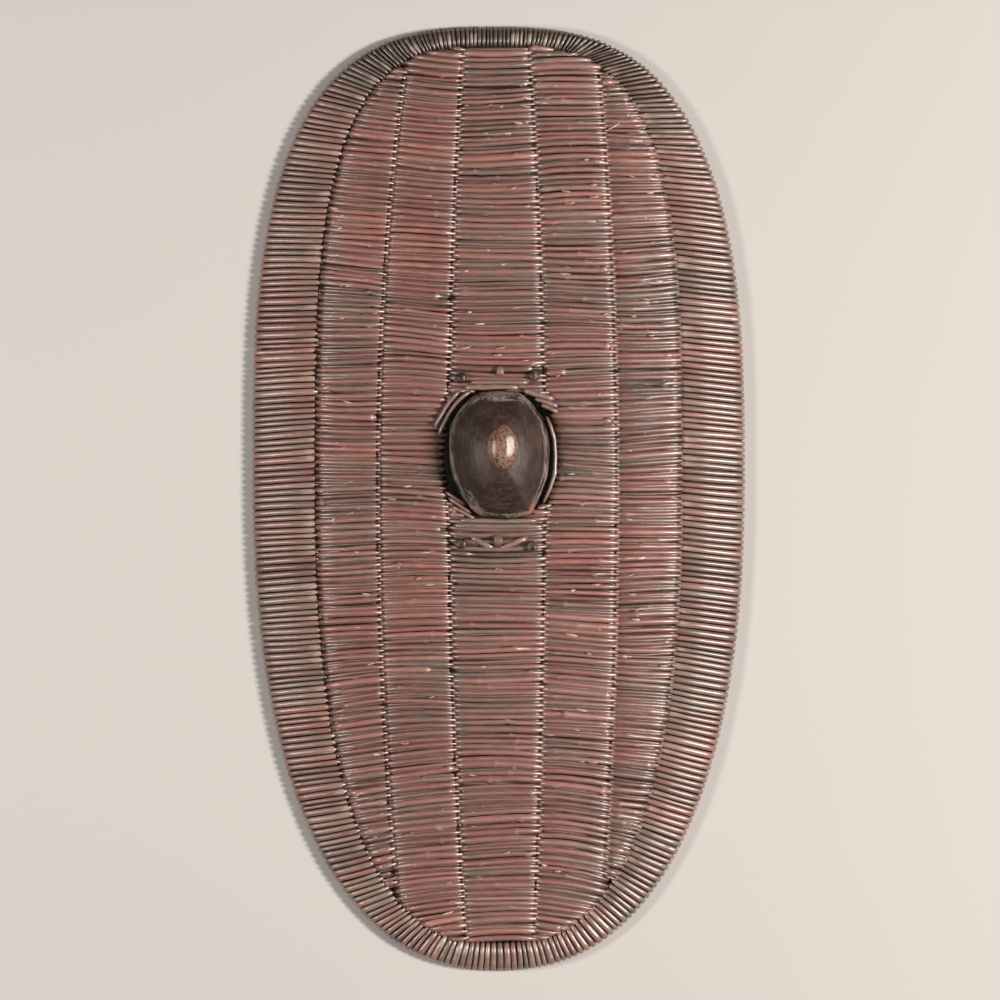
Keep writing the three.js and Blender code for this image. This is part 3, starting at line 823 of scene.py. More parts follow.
@dataclass
class Rim:
    """The rim: strands that fan round the woven field, over the edge and back along the underside.

    Its leans are pairs of degrees: the steepness of the rim's normal and the way its strands run there.
    Its sweep and bend are spreads like those of a column's tilt and bend.
    """

    node: str = "rim"
    seed: int = 71
    course_points: int = 4000
    fine_pitch: float = 4.8
    reach: float = 120.0
    overrun: float = 2.4
    crest: float = 3.3
    dive: float = -3.6
    shoulder: float = 9.0
    half_height: float = 3.05
    fullness: float = 1.04
    sweep: tuple[int, float, float] = (5, 0.7, 0.35)
    bend: tuple[int, float, float] = (6, 0.8, 0.3)
    # Across the head the rim cane is drawn darker and duller: partly finer, weathered cane, partly painted
    # shade.
    head_weathering_and_shade: float = 0.6
    head_dulling_and_shade: float = 0.45
    worn_share: float = 0.25
    turn_degrees: tuple[float, ...] = (62.0, 22.0, -22.0, -62.0, -92.0)
    turn_radius: float = 4.7
    turn_z: float = 7.85
    left_lean: tuple[tuple[float, float], ...] = (
        (-90, -90), (-60, -48), (-40, -23), (-29, -14), (-16, -8),
        (0, -3), (30, 12), (42, 21), (65, 48), (90, 90),
    )
    right_lean: tuple[tuple[float, float], ...] = (
        (-90, -90), (-60, -57), (-39, -36), (-28, -24), (-16, -16),
        (0, -5), (12, -6), (33, 4), (64, 20), (90, 90),
    )

    def stations(self) -> tuple[Array, Array]:
        """Space strands along the rim's middle line, finer across the head of the shield.

        Returns:
            The strands' places on the middle line, and their pitches.
        """
        course = RIM_MIDDLE.at(np.linspace(0, math.tau, self.course_points))
        step = np.linalg.norm(np.diff(course, axis=0), axis=1)
        head = smooth_step(RIM_MIDDLE.normal(course[:-1])[:, 1], 0.6, 0.93)
        pitch = STRAND_PITCH + (self.fine_pitch - STRAND_PITCH) * head
        number = np.concatenate([[0], np.cumsum(step / pitch)])
        count = int(round(number[-1]))
        rng = np.random.default_rng(self.seed)
        width = cane_sizes(rng, count)
        place = np.cumsum(width) - width / 2
        place *= number[-1] / width.sum()
        spot = np.stack([np.interp(place, number, course[:, axis]) for axis in (0, 1)], axis=-1)
        return spot, np.interp(place, number[:-1], pitch) * width

    def way(self, spot: Array) -> Array:
        """The way strands run outwards, in degrees above level for each steepness of the rim's normal."""
        normal = RIM_MIDDLE.normal(spot)
        steepness = np.degrees(np.arctan2(normal[:, 1], np.abs(normal[:, 0])))
        leans = [np.interp(steepness, *np.transpose(lean)) for lean in (self.left_lean, self.right_lean)]
        angle = np.radians(np.where(normal[:, 0] < 0, *leans))
        return np.stack([np.sign(normal[:, 0]) * np.cos(angle), np.sin(angle)], axis=-1)

    def reaches(self, spot: Array, way: Array) -> tuple[Array, Array]:
        """How far from the middle line strands start, at the field, and end, at the shield's outline."""

        def along(outline: Outline, distance: Array) -> Array:
            place = spot + way * distance[:, None]
            return outline.level(place[:, 0], place[:, 1])

        none = np.zeros(len(spot))
        start = last_inside(lambda d: along(FIELD, d) < 1, none - self.reach, none)
        end = last_inside(lambda d: along(SHIELD, d) < 1, none, none + self.reach)
        return start, end

    def half_widths(self, plan: Array, across: Array, pitch: Array) -> Array:
        """Half widths that fill the gaps between neighbours, uneven as the strands' pitches are.

        Args:
            plan: places of the strands' stations.
            across: unit vectors across the strands.
            pitch: the strands' pitches.

        Returns:
            Half widths as strands x stations.
        """
        neighbours = np.roll(plan, -1, axis=0) - np.roll(plan, 1, axis=0)
        gap = np.abs(np.sum(neighbours * across[:, None], axis=-1)) / 4
        local = (np.roll(gap, 1, axis=0) + 2 * gap + np.roll(gap, -1, axis=0)) / 4
        typical = np.convolve(np.pad(pitch, 2, mode="wrap"), np.full(5, 0.2), "valid")
        return np.clip(local * (pitch / typical)[:, None] * self.fullness, 1.1, 5.0)

    def strands(self) -> Strands:
        """Work out the strands: from the seam out over the dome, round the edge and back underneath.

        The edge is a turn of a small circle about a centre just inside the outline.

        Returns:
            The rim's strands.
        """
        spot, pitch = self.stations()
        way = self.way(spot)
        start, end = self.reaches(spot, way)
        length = end - start
        count = len(spot)
        rng = np.random.default_rng(self.seed + 1)
        hands = Hands(rng, count, knot_share=0.2)
        turn = np.radians(self.turn_degrees)
        centre = length - self.turn_radius - self.half_height
        edge = centre[:, None] + self.turn_radius * np.cos(turn)
        flat = edge[:, 0]
        front = np.stack([
            np.full(count, -self.overrun), np.full(count, 1.2), np.minimum(6.0, 0.25 * flat),
            0.45 * flat, 0.68 * flat, flat - np.minimum(8.0, 0.17 * flat),
        ], axis=1)
        back = np.stack([0.72 * flat, 0.4 * flat, np.full(count, 3.0)], axis=1)
        distance = np.concatenate([front, edge, back], axis=1)
        plan = spot[:, None] + way[:, None] * (start[:, None] + distance)[..., None]
        sweep = uneven(rng, count, *self.sweep)
        bend = uneven(rng, count, *self.bend)
        share = np.clip(distance / length[:, None], 0, 1)
        across = np.stack([-way[:, 1], way[:, 0]], axis=-1)
        sideways = sweep[:, None] * (2 * share - 1) + bend[:, None] * np.sin(math.pi * share)
        plan = plan + across[:, None] * (0.5 * sideways)[..., None]
        x, y = plan[..., 0], plan[..., 1]
        mid = dome_z(x, y)
        in_front = np.arange(distance.shape[1]) < front.shape[1]
        climb = np.clip((distance + self.overrun) / (self.shoulder + self.overrun), 0, 1)
        arch = np.sin(0.5 * math.pi * climb)
        sunk = hands.sunk()[:, None] * arch
        lift = self.dive + (self.crest - self.dive) * arch
        z = np.where(in_front, mid + lift - sunk, mid + self.dive)
        z[:, front.shape[1]:front.shape[1] + len(turn)] = self.turn_z + self.turn_radius * np.sin(turn)
        path = np.stack([x, y, z], axis=-1)
        level_side = np.concatenate([across, np.zeros((count, 1))], axis=1)
        side = np.broadcast_to(level_side[:, None], path.shape)
        half_width = self.half_widths(plan, across, pitch)
        head = smooth_step(RIM_MIDDLE.normal(spot)[:, 1], 0.45, 0.9)
        inner = hump(distance, 9.0, 8.0) * in_front
        return Strands(
            path=path,
            side=side,
            half_width=half_width * (0.8 + 0.2 * arch),
            half_height=np.minimum(self.half_height * (0.76 + 0.24 * arch), 1.3 * half_width),
            pick=hands.pick() - 0.06,
            # Darker across the head: partly weathered cane, partly painted shade.
            light=np.clip(hands.light() - self.head_weathering_and_shade * head, 0, 1),
            wear=0.5 * inner * (rng.random(count) < self.worn_share)[:, None],
            # Painted shade at the inner ends, which dive under the woven field, and more across the head.
            painted_shade=np.clip(0.9 * (1 - arch) ** 2 + self.head_dulling_and_shade * head[:, None], 0, 1),
            section=Section.RIM_CANE,
        )

    def add_shade_sheet(self, shell: Shell) -> None:
        """Add a dark ring of painted shade between the strands' front and back."""
        spot = RIM_MIDDLE.at(directions(240))
        way = self.way(spot)
        start, end = self.reaches(spot, way)
        share = np.linspace(0.0, 1.0, 6)
        distance = start[:, None] + (end - start - 9)[:, None] * share
        plan = spot[:, None] + way[:, None] * distance[..., None]
        add_sheet(shell, plan[..., 0], plan[..., 1], closed=True)

    def build(self, finish: bpy.types.Material) -> None:
        """Make the rim's mesh, to stand for its CAD node."""
        shell = Shell()
        self.strands().add_to(shell, number=9000)
        self.add_shade_sheet(shell)
        piece = shell.piece("rim_strands", finish)
        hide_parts(self.node)


# The boss's carved corners, in the photograph's pixels, anticlockwise from the right.
BOSS_CORNERS = (
    (549.4, 456), (548.5, 436), (543, 419), (531.5, 403), (520, 393), (499, 391), (477, 392.5),
    (461, 408), (450.5, 425), (449.4, 443), (450.4, 463), (454, 481), (461, 495), (470, 508),
    (480, 516), (498, 518.5), (515, 518), (531, 514.5), (540, 496), (547, 478),
)


@dataclass
class Boss:
    """The carved boss: a hollow dome with an edge band of wear and painted sheen, a rubbed nub with a
    painted highlight on its flanks, and two flanges behind.

    Its band widenings, one at the top for painted sheen and one at the lower left, and its chips are
    directions round its edge and their widths, in radians.
    """

    node: str = "boss"
    foot_z: float = 41.0
    wall: float = 8.0
    wall_top_z: float = 67.0
    band_z: float = 81.0
    band_share: float = 0.9
    crown_z: float = 117.0
    dome_power: float = 2.5
    sides: int = 168
    nub_x: float = 5.0
    nub_y: float = 58.0
    nub_half_width: float = 18.5
    nub_half_length: float = 25.5
    ridge_x: float = 3.2
    nub_height: float = 8.6
    flange_half_width: float = 58.0
    flange_start: float = 50.0
    flange_reach: float = 112.0
    flange_top_z: float = 47.7
    # The band widens at the top, which is painted sheen, and at the lower left.
    band_widenings: tuple[tuple[float, float], ...] = ((1.5, 0.4), (4.15, 0.24))
    chips: tuple[tuple[float, float], ...] = ((4.3633, 0.1), (5.1836, 0.16))

    def outline(self, angle: Array) -> Array:
        """Radius of the boss in directions from its middle.

        Args:
            angle: directions, in radians.

        Returns:
            Straight runs between its carved corners, rounded over 6 degrees.
        """
        corners = points_from_photo(BOSS_CORNERS) - [0, BOSS_Y]
        heading = np.unwrap(np.arctan2(corners[:, 1], corners[:, 0]))
        dense = np.linspace(heading[0], heading[0] + math.tau, 1440, endpoint=False)
        ring = np.concatenate([corners, corners[:1]])
        turn = np.append(heading, heading[0] + math.tau)
        x = np.interp(dense, turn, ring[:, 0])
        y = np.interp(dense, turn, ring[:, 1])
        window = np.hanning(49)
        radius = np.convolve(np.pad(np.hypot(x, y), 24, mode="wrap"), window / window.sum(), "valid")
        way = np.arctan2(y, x)
        order = np.argsort(way)
        return np.interp(angle, way[order], radius[order], period=math.tau)

    def nub(self, x: Array, y: Array) -> tuple[Array, Array, Array]:
        """Height of the nub over the dome, where it is bare wood, and where a painted highlight lies on
        its flanks.
        """
        v = np.clip(np.abs(y - self.nub_y) / self.nub_half_length, 0, 1)
        width = self.nub_half_width * (1 - v**1.9) ** 0.72 + 1e-6
        t = np.abs(x - self.nub_x) / width
        rise = 1 - smooth_step(t, 0.2, 1.04)
        height = self.nub_height * (1 - v**2.4) ** 0.7 * rise
        top = (1 - smooth_step(t, 0.85, 0.98)) * (1 - smooth_step(v, 0.9, 1.0))
        # Painted highlight: white reflections of the two side lights on the nub's flanks, larger on the
        # right.
        off_ridge = np.abs(x - self.ridge_x)
        near_end = np.abs(y - self.nub_y - 0.12 * (x - self.ridge_x)) / self.nub_half_length
        glint_patch = smooth_step(off_ridge, 2.6, 8.0) * (1 - smooth_step(t, 0.5, 0.95))
        glint_patch = glint_patch * (1 - smooth_step(near_end, np.where(x > self.ridge_x, 0.25, 0.08), 0.78))
        return height, top, glint_patch

    def dome(self, shares: Array, angle: Array, inset: float, drop: float) -> Array:
        """Rings of the dome: shares of the outline's radius and the heights that go with them.

        Args:
            shares: rows of (share of the radius, height).
            angle: directions of the ring's points.
            inset: how far the outline is drawn in.
            drop: how far all is lowered.

        Returns:
            Points as rings x directions x 3.
        """
        reach = shares[:, :1] * (self.outline(angle) - inset)
        x = reach * np.cos(angle)
        y = BOSS_Y + reach * np.sin(angle)
        z = np.broadcast_to(shares[:, 1:] - drop, x.shape)
        return np.stack([x, y, z], axis=-1)

    def profile(self, share: Array) -> Array:
        """Height of the dome above a share of its radius: crown - rise * (share / band)^power."""
        rise = self.crown_z - self.band_z
        return self.crown_z - rise * (share / self.band_share) ** self.dome_power

    def build(self, finish: bpy.types.Material) -> None:
        """Make the boss as one closed skin, outside and inside, with its flanges, for its CAD node."""
        angle = directions(self.sides)
        inner_shares = np.linspace(0.012, self.band_share, 66)
        band = np.array([
            [0.915, self.band_z - 1.4], [0.945, self.band_z - 5.5], [0.975, self.band_z - 10],
            [0.99, self.wall_top_z], [0.998, self.wall_top_z - 5], [1.0, 56], [1.0, 47],
            [0.995, self.foot_z],
        ])
        outside = np.concatenate([np.stack([inner_shares, self.profile(inner_shares)], axis=1), band])
        hollow = np.linspace(1.0, 0.02, 22)
        inside = np.stack([hollow, self.profile(hollow * self.band_share) - 4 * hollow**8], axis=1)
        inside[0, 1] = self.foot_z + self.wall
        outer = self.dome(outside, angle, 0.0, 0.0)
        inner = self.dome(inside, angle, self.wall, self.wall)
        height, top, glint_patch = self.nub(outer[..., 0], outer[..., 1])
        wobble = 0.35 * np.sin(7 * angle) + 0.3 * np.sin(12 * angle + 1)
        body = np.zeros(len(outer))
        body[: len(inner_shares)] = inner_shares**2
        outer[..., 2] += height + wobble * body[:, None]
        rings = np.concatenate([outer, inner])[::-1][None]
        share = np.concatenate([outside[:, 0], inside[:, 0] * 0.4])[::-1]
        masks = np.zeros((len(outer) + len(inner), self.sides, 4))
        # The edge band: partly wear, partly painted sheen, widest at the top where it is sheen.
        widen = 0.012 * np.sin(3 * angle + 2) + 0.01 * np.sin(5 * angle)
        widen = widen + sum(0.07 * hump(angle, *widening) for widening in self.band_widenings)
        chips = sum(hump(angle, *chip) for chip in self.chips)
        # Masks: the nub's rubbed top, the edge band of wear and painted sheen, the chips, and the painted
        # highlight.
        masks[: len(outer), :, 0] = top
        masks[: len(outer), :, 1] = smooth_step(outside[:, :1] + widen, 0.895, 0.925)
        masks[: len(outer), :, 2] = smooth_step(outside[:, :1], 0.93, 0.98) * chips
        masks[: len(outer), :, 3] = glint_patch
        grain = rings * [1.0, 1.0, 0.0]
        grain[..., 2] = share[:, None] * 57
        shell = Shell()
        shell.add_rings(rings, grain, masks[::-1][None])
        add_plates(shell, self.flange_half_width, (self.flange_start, self.flange_reach),
                   (self.foot_z, self.flange_top_z))
        piece = shell.piece("boss_carved", finish)
        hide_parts(self.node)


def add_slab(shell: Shell, centre: tuple, half: tuple, power: float = 7.0) -> None:
    """Add a flat slab with rounded corners and eased edges: a superellipse in plan and in section.

    Args:
        shell: the mesh that it joins.
        centre: its middle.
        half: half its width, length and thickness.
        power: how square its plan is.
    """
    angle = directions(56)
    levels = np.array([
        [0.05, -1.0], [0.6, -1.0], [0.97, -1.0], [0.995, -0.8], [1.0, -0.4],
        [1.0, 0.4], [0.995, 0.8], [0.97, 1.0], [0.6, 1.0], [0.05, 1.0],
    ])
    reach = levels[:, :1] * superellipse(angle, power)
    x = centre[0] + half[0] * reach * np.cos(angle)
    y = centre[1] + half[1] * reach * np.sin(angle)
    z = np.broadcast_to(centre[2] + half[2] * levels[:, 1:], x.shape)
    shell.add_rings(np.stack([x, y, z], axis=-1)[None])


def add_plates(shell: Shell, half_width: float, reach: tuple, height: tuple) -> None:
    """Add two flat plates behind the weave, one above the boss and one below it.

    Args:
        shell: the mesh that they join.
        half_width: half their width.
        reach: how far from the boss's middle they start and end.
        height: the heights of their undersides and of their tops.
    """
    half = (half_width, (reach[1] - reach[0]) / 2, (height[1] - height[0]) / 2)
    for way in (1, -1):
        add_slab(shell, (0.0, BOSS_Y + way * (reach[0] + half[1]), (height[1] + height[0]) / 2), half)


@dataclass
class Grip:
    """The hand grip behind the boss: a bar that swells in the middle, between two pinned plates."""

    node: str = "grip"
    bar_z: float = 33.5
    bar_radius: float = 13.8
    neck_radius: float = 6.5
    half_length: float = 72.0
    plate_half_width: float = 52.0
    plate_start: float = 66.0
    plate_reach: float = 112.0
    plate_top_z: float = 40.7
    plate_low_z: float = 32.8

    def build(self, finish: bpy.types.Material) -> None:
        """Make the bar, with radius neck + swell * cos(share * pi / 2)^2, and its two plates."""
        shell = Shell()
        share = np.linspace(-1, 1, 41)
        swell = self.bar_radius - self.neck_radius
        radius = self.neck_radius + swell * np.cos(share * math.pi / 2) ** 2
        radius[[0, -1]] *= 0.5
        angle = directions(28)
        x = radius[:, None] * np.cos(angle)
        z = self.bar_z + radius[:, None] * np.sin(angle)
        y = np.broadcast_to(BOSS_Y - self.half_length * share[:, None], x.shape)
        shell.add_rings(np.stack([x, y, z], axis=-1)[None])
        add_plates(shell, self.plate_half_width, (self.plate_start, self.plate_reach),
                   (self.plate_low_z, self.plate_top_z))
        piece = shell.piece("grip_carved", finish)
        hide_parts(self.node)


@dataclass
class Peg:
    """A wooden peg driven through the weave, with a rubbed head that is wider than its shank."""

    node: str
    x: float
    y: float
    head_width: float
    head_length: float
    turn: float
    seed: int
    squareness: float = 2.4
    shank: float = 4.0
    tail_z: float = 29.0
    head_height: float = 7.0

    def build(self, finish: bpy.types.Material) -> None:
        """Make the peg: rings of a superellipse up its length, with a knocked and rounded head."""
        rng = np.random.default_rng(self.seed)
        head_z = float(dome_z(np.array(self.x), np.array(self.y))) + RIDGE_HEIGHT - 0.6
        top_z = head_z + self.head_height + 1.0
        levels = np.array([
            [0.03, self.tail_z], [0.7, self.tail_z], [1.0, self.tail_z + 1], [1.0, head_z - 1.0],
        ])
        head = np.array([
            [0.9, 0.0], [1.0, 0.25], [1.02, 0.5], [0.97, 0.75],
            [0.82, 0.92], [0.5, 1.0], [0.2, 1.02], [0.03, 1.02],
        ])
        angle = directions(26)
        c, s = np.cos(angle), np.sin(angle)
        squared = superellipse(angle, self.squareness)
        knocks = 1 + 0.05 * np.sin(3 * angle + rng.uniform(0, 6))
        knocks = knocks + 0.04 * np.sin(5 * angle + rng.uniform(0, 6))
        turn = math.radians(self.turn)
        low_x = levels[:, :1] * self.shank * c
        low_y = levels[:, :1] * self.shank * s
        wide = head[:, :1] * self.head_width / 2 * squared * knocks * c
        long = head[:, :1] * self.head_length / 2 * squared * knocks * s
        high_x = wide * math.cos(turn) - long * math.sin(turn)
        high_y = wide * math.sin(turn) + long * math.cos(turn)
        slope = rng.uniform(-0.12, 0.12, 2)
        lean = slope[0] * high_x + slope[1] * high_y
        high_z = head_z + (top_z - head_z + lean) * head[:, 1:]
        x = self.x + np.concatenate([low_x, high_x])
        y = self.y + np.concatenate([low_y, high_y])
        z = np.concatenate([np.broadcast_to(levels[:, 1:], low_x.shape), high_z])
        top = np.concatenate([np.zeros(len(levels)), smooth_step(head[:, 1], 0.6, 1.0)])
        tone = np.zeros((1, *x.shape, 4))
        tone[..., 0] = (self.seed % 10) / 10
        tone[..., 1] = top[:, None]
        shell = Shell()
        shell.add_rings(np.stack([x, y, z], axis=-1)[None], tone=tone)
        piece = shell.piece(f"{self.node}_wood", finish)
        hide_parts(self.node)


@dataclass
class Lashing:
    """A loose cane strand laid over the weave beside the boss."""

    node: str
    plan: Array
    half_width: float
    half_height: float = 2.1
    lift: float = 3.0
    light: float = 0.62
    pick: float = 0.45
    seed: int = 1
    joints: tuple[float, ...] = ()

    def strand(self) -> Strands:
        """Work out its sweep, with a swelling at each joint of the cane."""
        rng = np.random.default_rng(self.seed)
        count = 33
        share = np.linspace(0, 1, count)
        given = np.linspace(0, 1, len(self.plan))
        x = np.interp(share, given, self.plan[:, 0])
        y = np.interp(share, given, self.plan[:, 1]) + 0.25 * run_of_values(rng, count, 6)
        end = np.abs(2 * share - 1) ** 10
        z = dome_z(x, y) + RIDGE_HEIGHT + self.lift - 3.2 * end + 0.25 * run_of_values(rng, count, 5)
        path = np.stack([x, y, z], axis=-1)[None]
        joint = sum((hump(share, at, 0.02) for at in self.joints), np.zeros(count))
        taper = 1 - 0.5 * end
        uneven = 1 + 0.07 * run_of_values(rng, count, 5)
        return Strands(
            path=path,
            side=plan_side(path),
            half_width=(self.half_width * taper * uneven * (1 + 0.18 * joint))[None],
            half_height=(self.half_height * taper * (1 + 0.15 * joint))[None],
            pick=np.array([self.pick]),
            light=np.array([self.light]),
            wear=np.clip(0.08 + 0.3 * joint, 0, 1)[None],
            painted_shade=np.zeros((1, count)),
            section=Section.ROUND,
        )

    def build(self, finish: bpy.types.Material) -> None:
        """Make the strand's mesh, to stand for its CAD node."""
        shell = Shell()
        self.strand().add_to(shell, number=self.seed * 13)
        piece = shell.piece(f"{self.node}_strand", finish)
        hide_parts(self.node)


def bent_plan(start: tuple, end: tuple, dip: float) -> Array:
    """Plan of a strand bent round the boss: from one (degrees, distance out) to another, nearer midway."""
    share = np.linspace(0, 1, 25)
    angle = np.radians(start[0] + (end[0] - start[0]) * share)
    out = start[1] + (end[1] - start[1]) * share - dip * np.sin(math.pi * share)
    radius = superellipse(angle, 2.4, BOSS_HALF_WIDTH + out, BOSS_HALF_LENGTH + out)
    return np.stack([np.cos(angle) * radius, BOSS_Y + np.sin(angle) * radius], axis=-1)


def short_plan(start: tuple, end: tuple, bow: float) -> Array:
    """Plan of a short strand between two points, bowed a little up the shield."""
    share = np.linspace(0, 1, 9)
    x = start[0] + (end[0] - start[0]) * share
    y = start[1] + (end[1] - start[1]) * share + bow * np.sin(math.pi * share)
    return np.stack([x, y], axis=-1)


def linear(code: str) -> tuple[float, float, float, float]:
    """A colour written as six hex digits in sRGB, as the linear values that a shader takes."""
    values = [int(code[i:i + 2], 16) / 255 for i in (0, 2, 4)]
    curved = [v / 12.92 if v <= 0.04045 else ((v + 0.055) / 1.055) ** 2.4 for v in values]
    return (*curved, 1.0)


# The settings that most nodes of a type share.
USUAL_SETTINGS = {"Math": {"operation": "MULTIPLY_ADD"}, "Mix": {"data_type": "RGBA"}}


def add_node(tree: bpy.types.NodeTree, kind: str, inputs: dict | None = None,
             stops: tuple = (), **settings: object) -> bpy.types.Node:
    """Add a node with its settings and links.

    Args:
        tree: the material's nodes.
        kind: the node's type, without the word ShaderNode.
        inputs: for an input's name or index, a value, a hex colour, the socket that feeds it, or the
            node whose first socket in use feeds it.
        stops: places and hex colours of a colour ramp.
        settings: the node's own settings, where they differ from the usual ones.

    Returns:
        The new node.
    """
    node = tree.nodes.new(f"ShaderNode{kind}")
    for name, value in {**USUAL_SETTINGS.get(kind, {}), **settings}.items():
        setattr(node, name, value)
    for key, value in (inputs or {}).items():
        if isinstance(value, bpy.types.Node):
            value = next(socket for socket in value.outputs if socket.enabled)
        if isinstance(value, bpy.types.NodeSocket):
            tree.links.new(value, node.inputs[key])
        else:
            node.inputs[key].default_value = linear(value) if isinstance(value, str) else value
    for number, (place, code) in enumerate(stops):
        element = node.color_ramp.elements[number] if number < 2 else node.color_ramp.elements.new(place)
        element.position = place
        element.color = linear(code)
    return node


def new_material(name: str) -> tuple[bpy.types.Material, bpy.types.NodeTree]:
    """A material with an empty node tree."""
    material = bpy.data.materials.new(name)
    material.use_nodes = True
    material.node_tree.nodes.clear()
    return material, material.node_tree


@dataclass(frozen=True)
class SmokedCane:
    """Split rattan cane, rubbed with red camwood and darkened by smoke and hands.

    To the eye it is a low satin: dusty red on the strands' crowns, and pale where a knot or a break shows
    the pith. Painted shade turns it a darker grey-brown down the strands' flanks and into their ends, and
    dark between the strands.
    """

    name: str = "smoked_rattan_cane"
    palette: tuple[str, ...] = ("665C54", "765F56", "846259", "8B5F57", "88574F", "966B5F")
    # Painted shade: dark between the strands, and a darker grey-brown down their flanks and ends.
    gap: str = "2E2018"
    flank_shade: str = "5C5046"
    pale: str = "D2BDAE"
    roughness: float = 0.4
    gloss: float = 0.9
    wax: float = 1.0
    wax_roughness: float = 0.28
    fibre_mm: float = 0.5
    fibre_length_mm: float = 12.0
    blotch_mm: float = 18.0
    region_mm: float = 110.0
    own_weight: float = 0.72
    blotch_weight: float = 1.1
    region_weight: float = 0.9
    pick_offset: float = -0.83
    light_weight: float = 0.9
    fibre_weight: float = 1.3
    light_offset: float = -0.08
    bump: float = 0.55
    bump_depth: float = 0.0005

    def make(self) -> bpy.types.Material:
        """Build the material from the strands' own attributes and from noise along their grain."""
        material, tree = new_material(self.name)
        tone = add_node(tree, "Attribute", attribute_name="tone")
        split = add_node(tree, "SeparateColor", {0: tone})
        grain = add_node(tree, "Attribute", attribute_name="grain")
        place = add_node(tree, "TexCoord")
        fibre_scale = (1 / self.fibre_length_mm, 1 / self.fibre_mm, 1.0)
        blotch_scale = (1 / self.blotch_mm, 0.8 / STRAND_PITCH, 1.0)
        fibre_space, blotch_space = (
            add_node(tree, "Mapping", {"Vector": grain.outputs["Vector"], "Scale": scale})
            for scale in (fibre_scale, blotch_scale)
        )
        fibre, blotch, region = (
            add_node(tree, "TexNoise", {"Vector": at, "Scale": scale, "Detail": detail, "Roughness": mix})
            for at, scale, detail, mix in (
                (fibre_space, 1.0, 3.0, 0.6),
                (blotch_space, 1.0, 3.0, 0.6),
                (place.outputs["Object"], 1000 / self.region_mm, 2.0, 0.5),
            )
        )
        own = add_node(tree, "Math", {
            0: split.outputs["Red"], 1: self.own_weight, 2: self.pick_offset,
        })
        with_blotch = add_node(tree, "Math", {0: blotch, 1: self.blotch_weight, 2: own})
        pick = add_node(tree, "Math", {0: region, 1: self.region_weight, 2: with_blotch})
        places = (0.0, 0.24, 0.42, 0.58, 0.75, 1.0)
        ramp = add_node(tree, "ValToRGB", {0: pick}, stops=tuple(zip(places, self.palette)))
        shade = add_node(tree, "Math", {
            0: split.outputs["Green"], 1: self.light_weight, 2: self.light_offset,
        })
        streak = add_node(tree, "Math", {0: fibre, 1: self.fibre_weight, 2: shade})
        # Painted shade: low on a strand's section, at its dived ends and on shaded strands, it turns
        # grey-brown.
        clear_of_flank_shade = add_node(tree, "MapRange", {
            "Value": split.outputs["Blue"], "From Min": 0.3, "From Max": 0.85,
        }, interpolation_type="SMOOTHSTEP")
        skin = add_node(tree, "Mix", {0: clear_of_flank_shade, 6: self.flank_shade, 7: ramp})
        shaded = add_node(tree, "VectorMath", {0: skin, 1: streak}, operation="MULTIPLY")
        # Painted shade: lower still it turns to the dark colour between strands, and gloss and wax are
        # dimmed too.
        clear_of_gap_shade = add_node(tree, "MapRange", {
            "Value": split.outputs["Blue"], "From Min": 0.05, "From Max": 0.62,
        }, interpolation_type="SMOOTHSTEP")
        gap_shaded = add_node(tree, "Mix", {0: clear_of_gap_shade, 6: self.gap, 7: shaded})
        worn_by = add_node(tree, "Math", {0: tone.outputs["Alpha"], 1: fibre}, operation="ADD")
        worn_more = add_node(tree, "MapRange", {"Value": worn_by, "From Min": 0.72, "From Max": 1.35})
        colour = add_node(tree, "Mix", {0: worn_more, 6: gap_shaded, 7: self.pale})
        rough = add_node(tree, "Math", {0: fibre, 1: 0.3, 2: self.roughness - 0.15})
        bump = add_node(tree, "Bump", {
            "Strength": self.bump, "Distance": self.bump_depth, "Height": fibre,
        })
        gloss = add_node(tree, "Math", {0: clear_of_gap_shade, 1: self.gloss}, operation="MULTIPLY")
        wax = add_node(tree, "Math", {0: clear_of_gap_shade, 1: self.wax}, operation="MULTIPLY")
        shader = add_node(tree, "BsdfPrincipled", {
            "Base Color": colour, "Roughness": rough, "Normal": bump,
            "IOR": 1.5, "Specular IOR Level": gloss, "Coat Weight": wax,
            "Coat Roughness": self.wax_roughness,
        })
        add_node(tree, "OutputMaterial", {"Surface": shader})
        return material


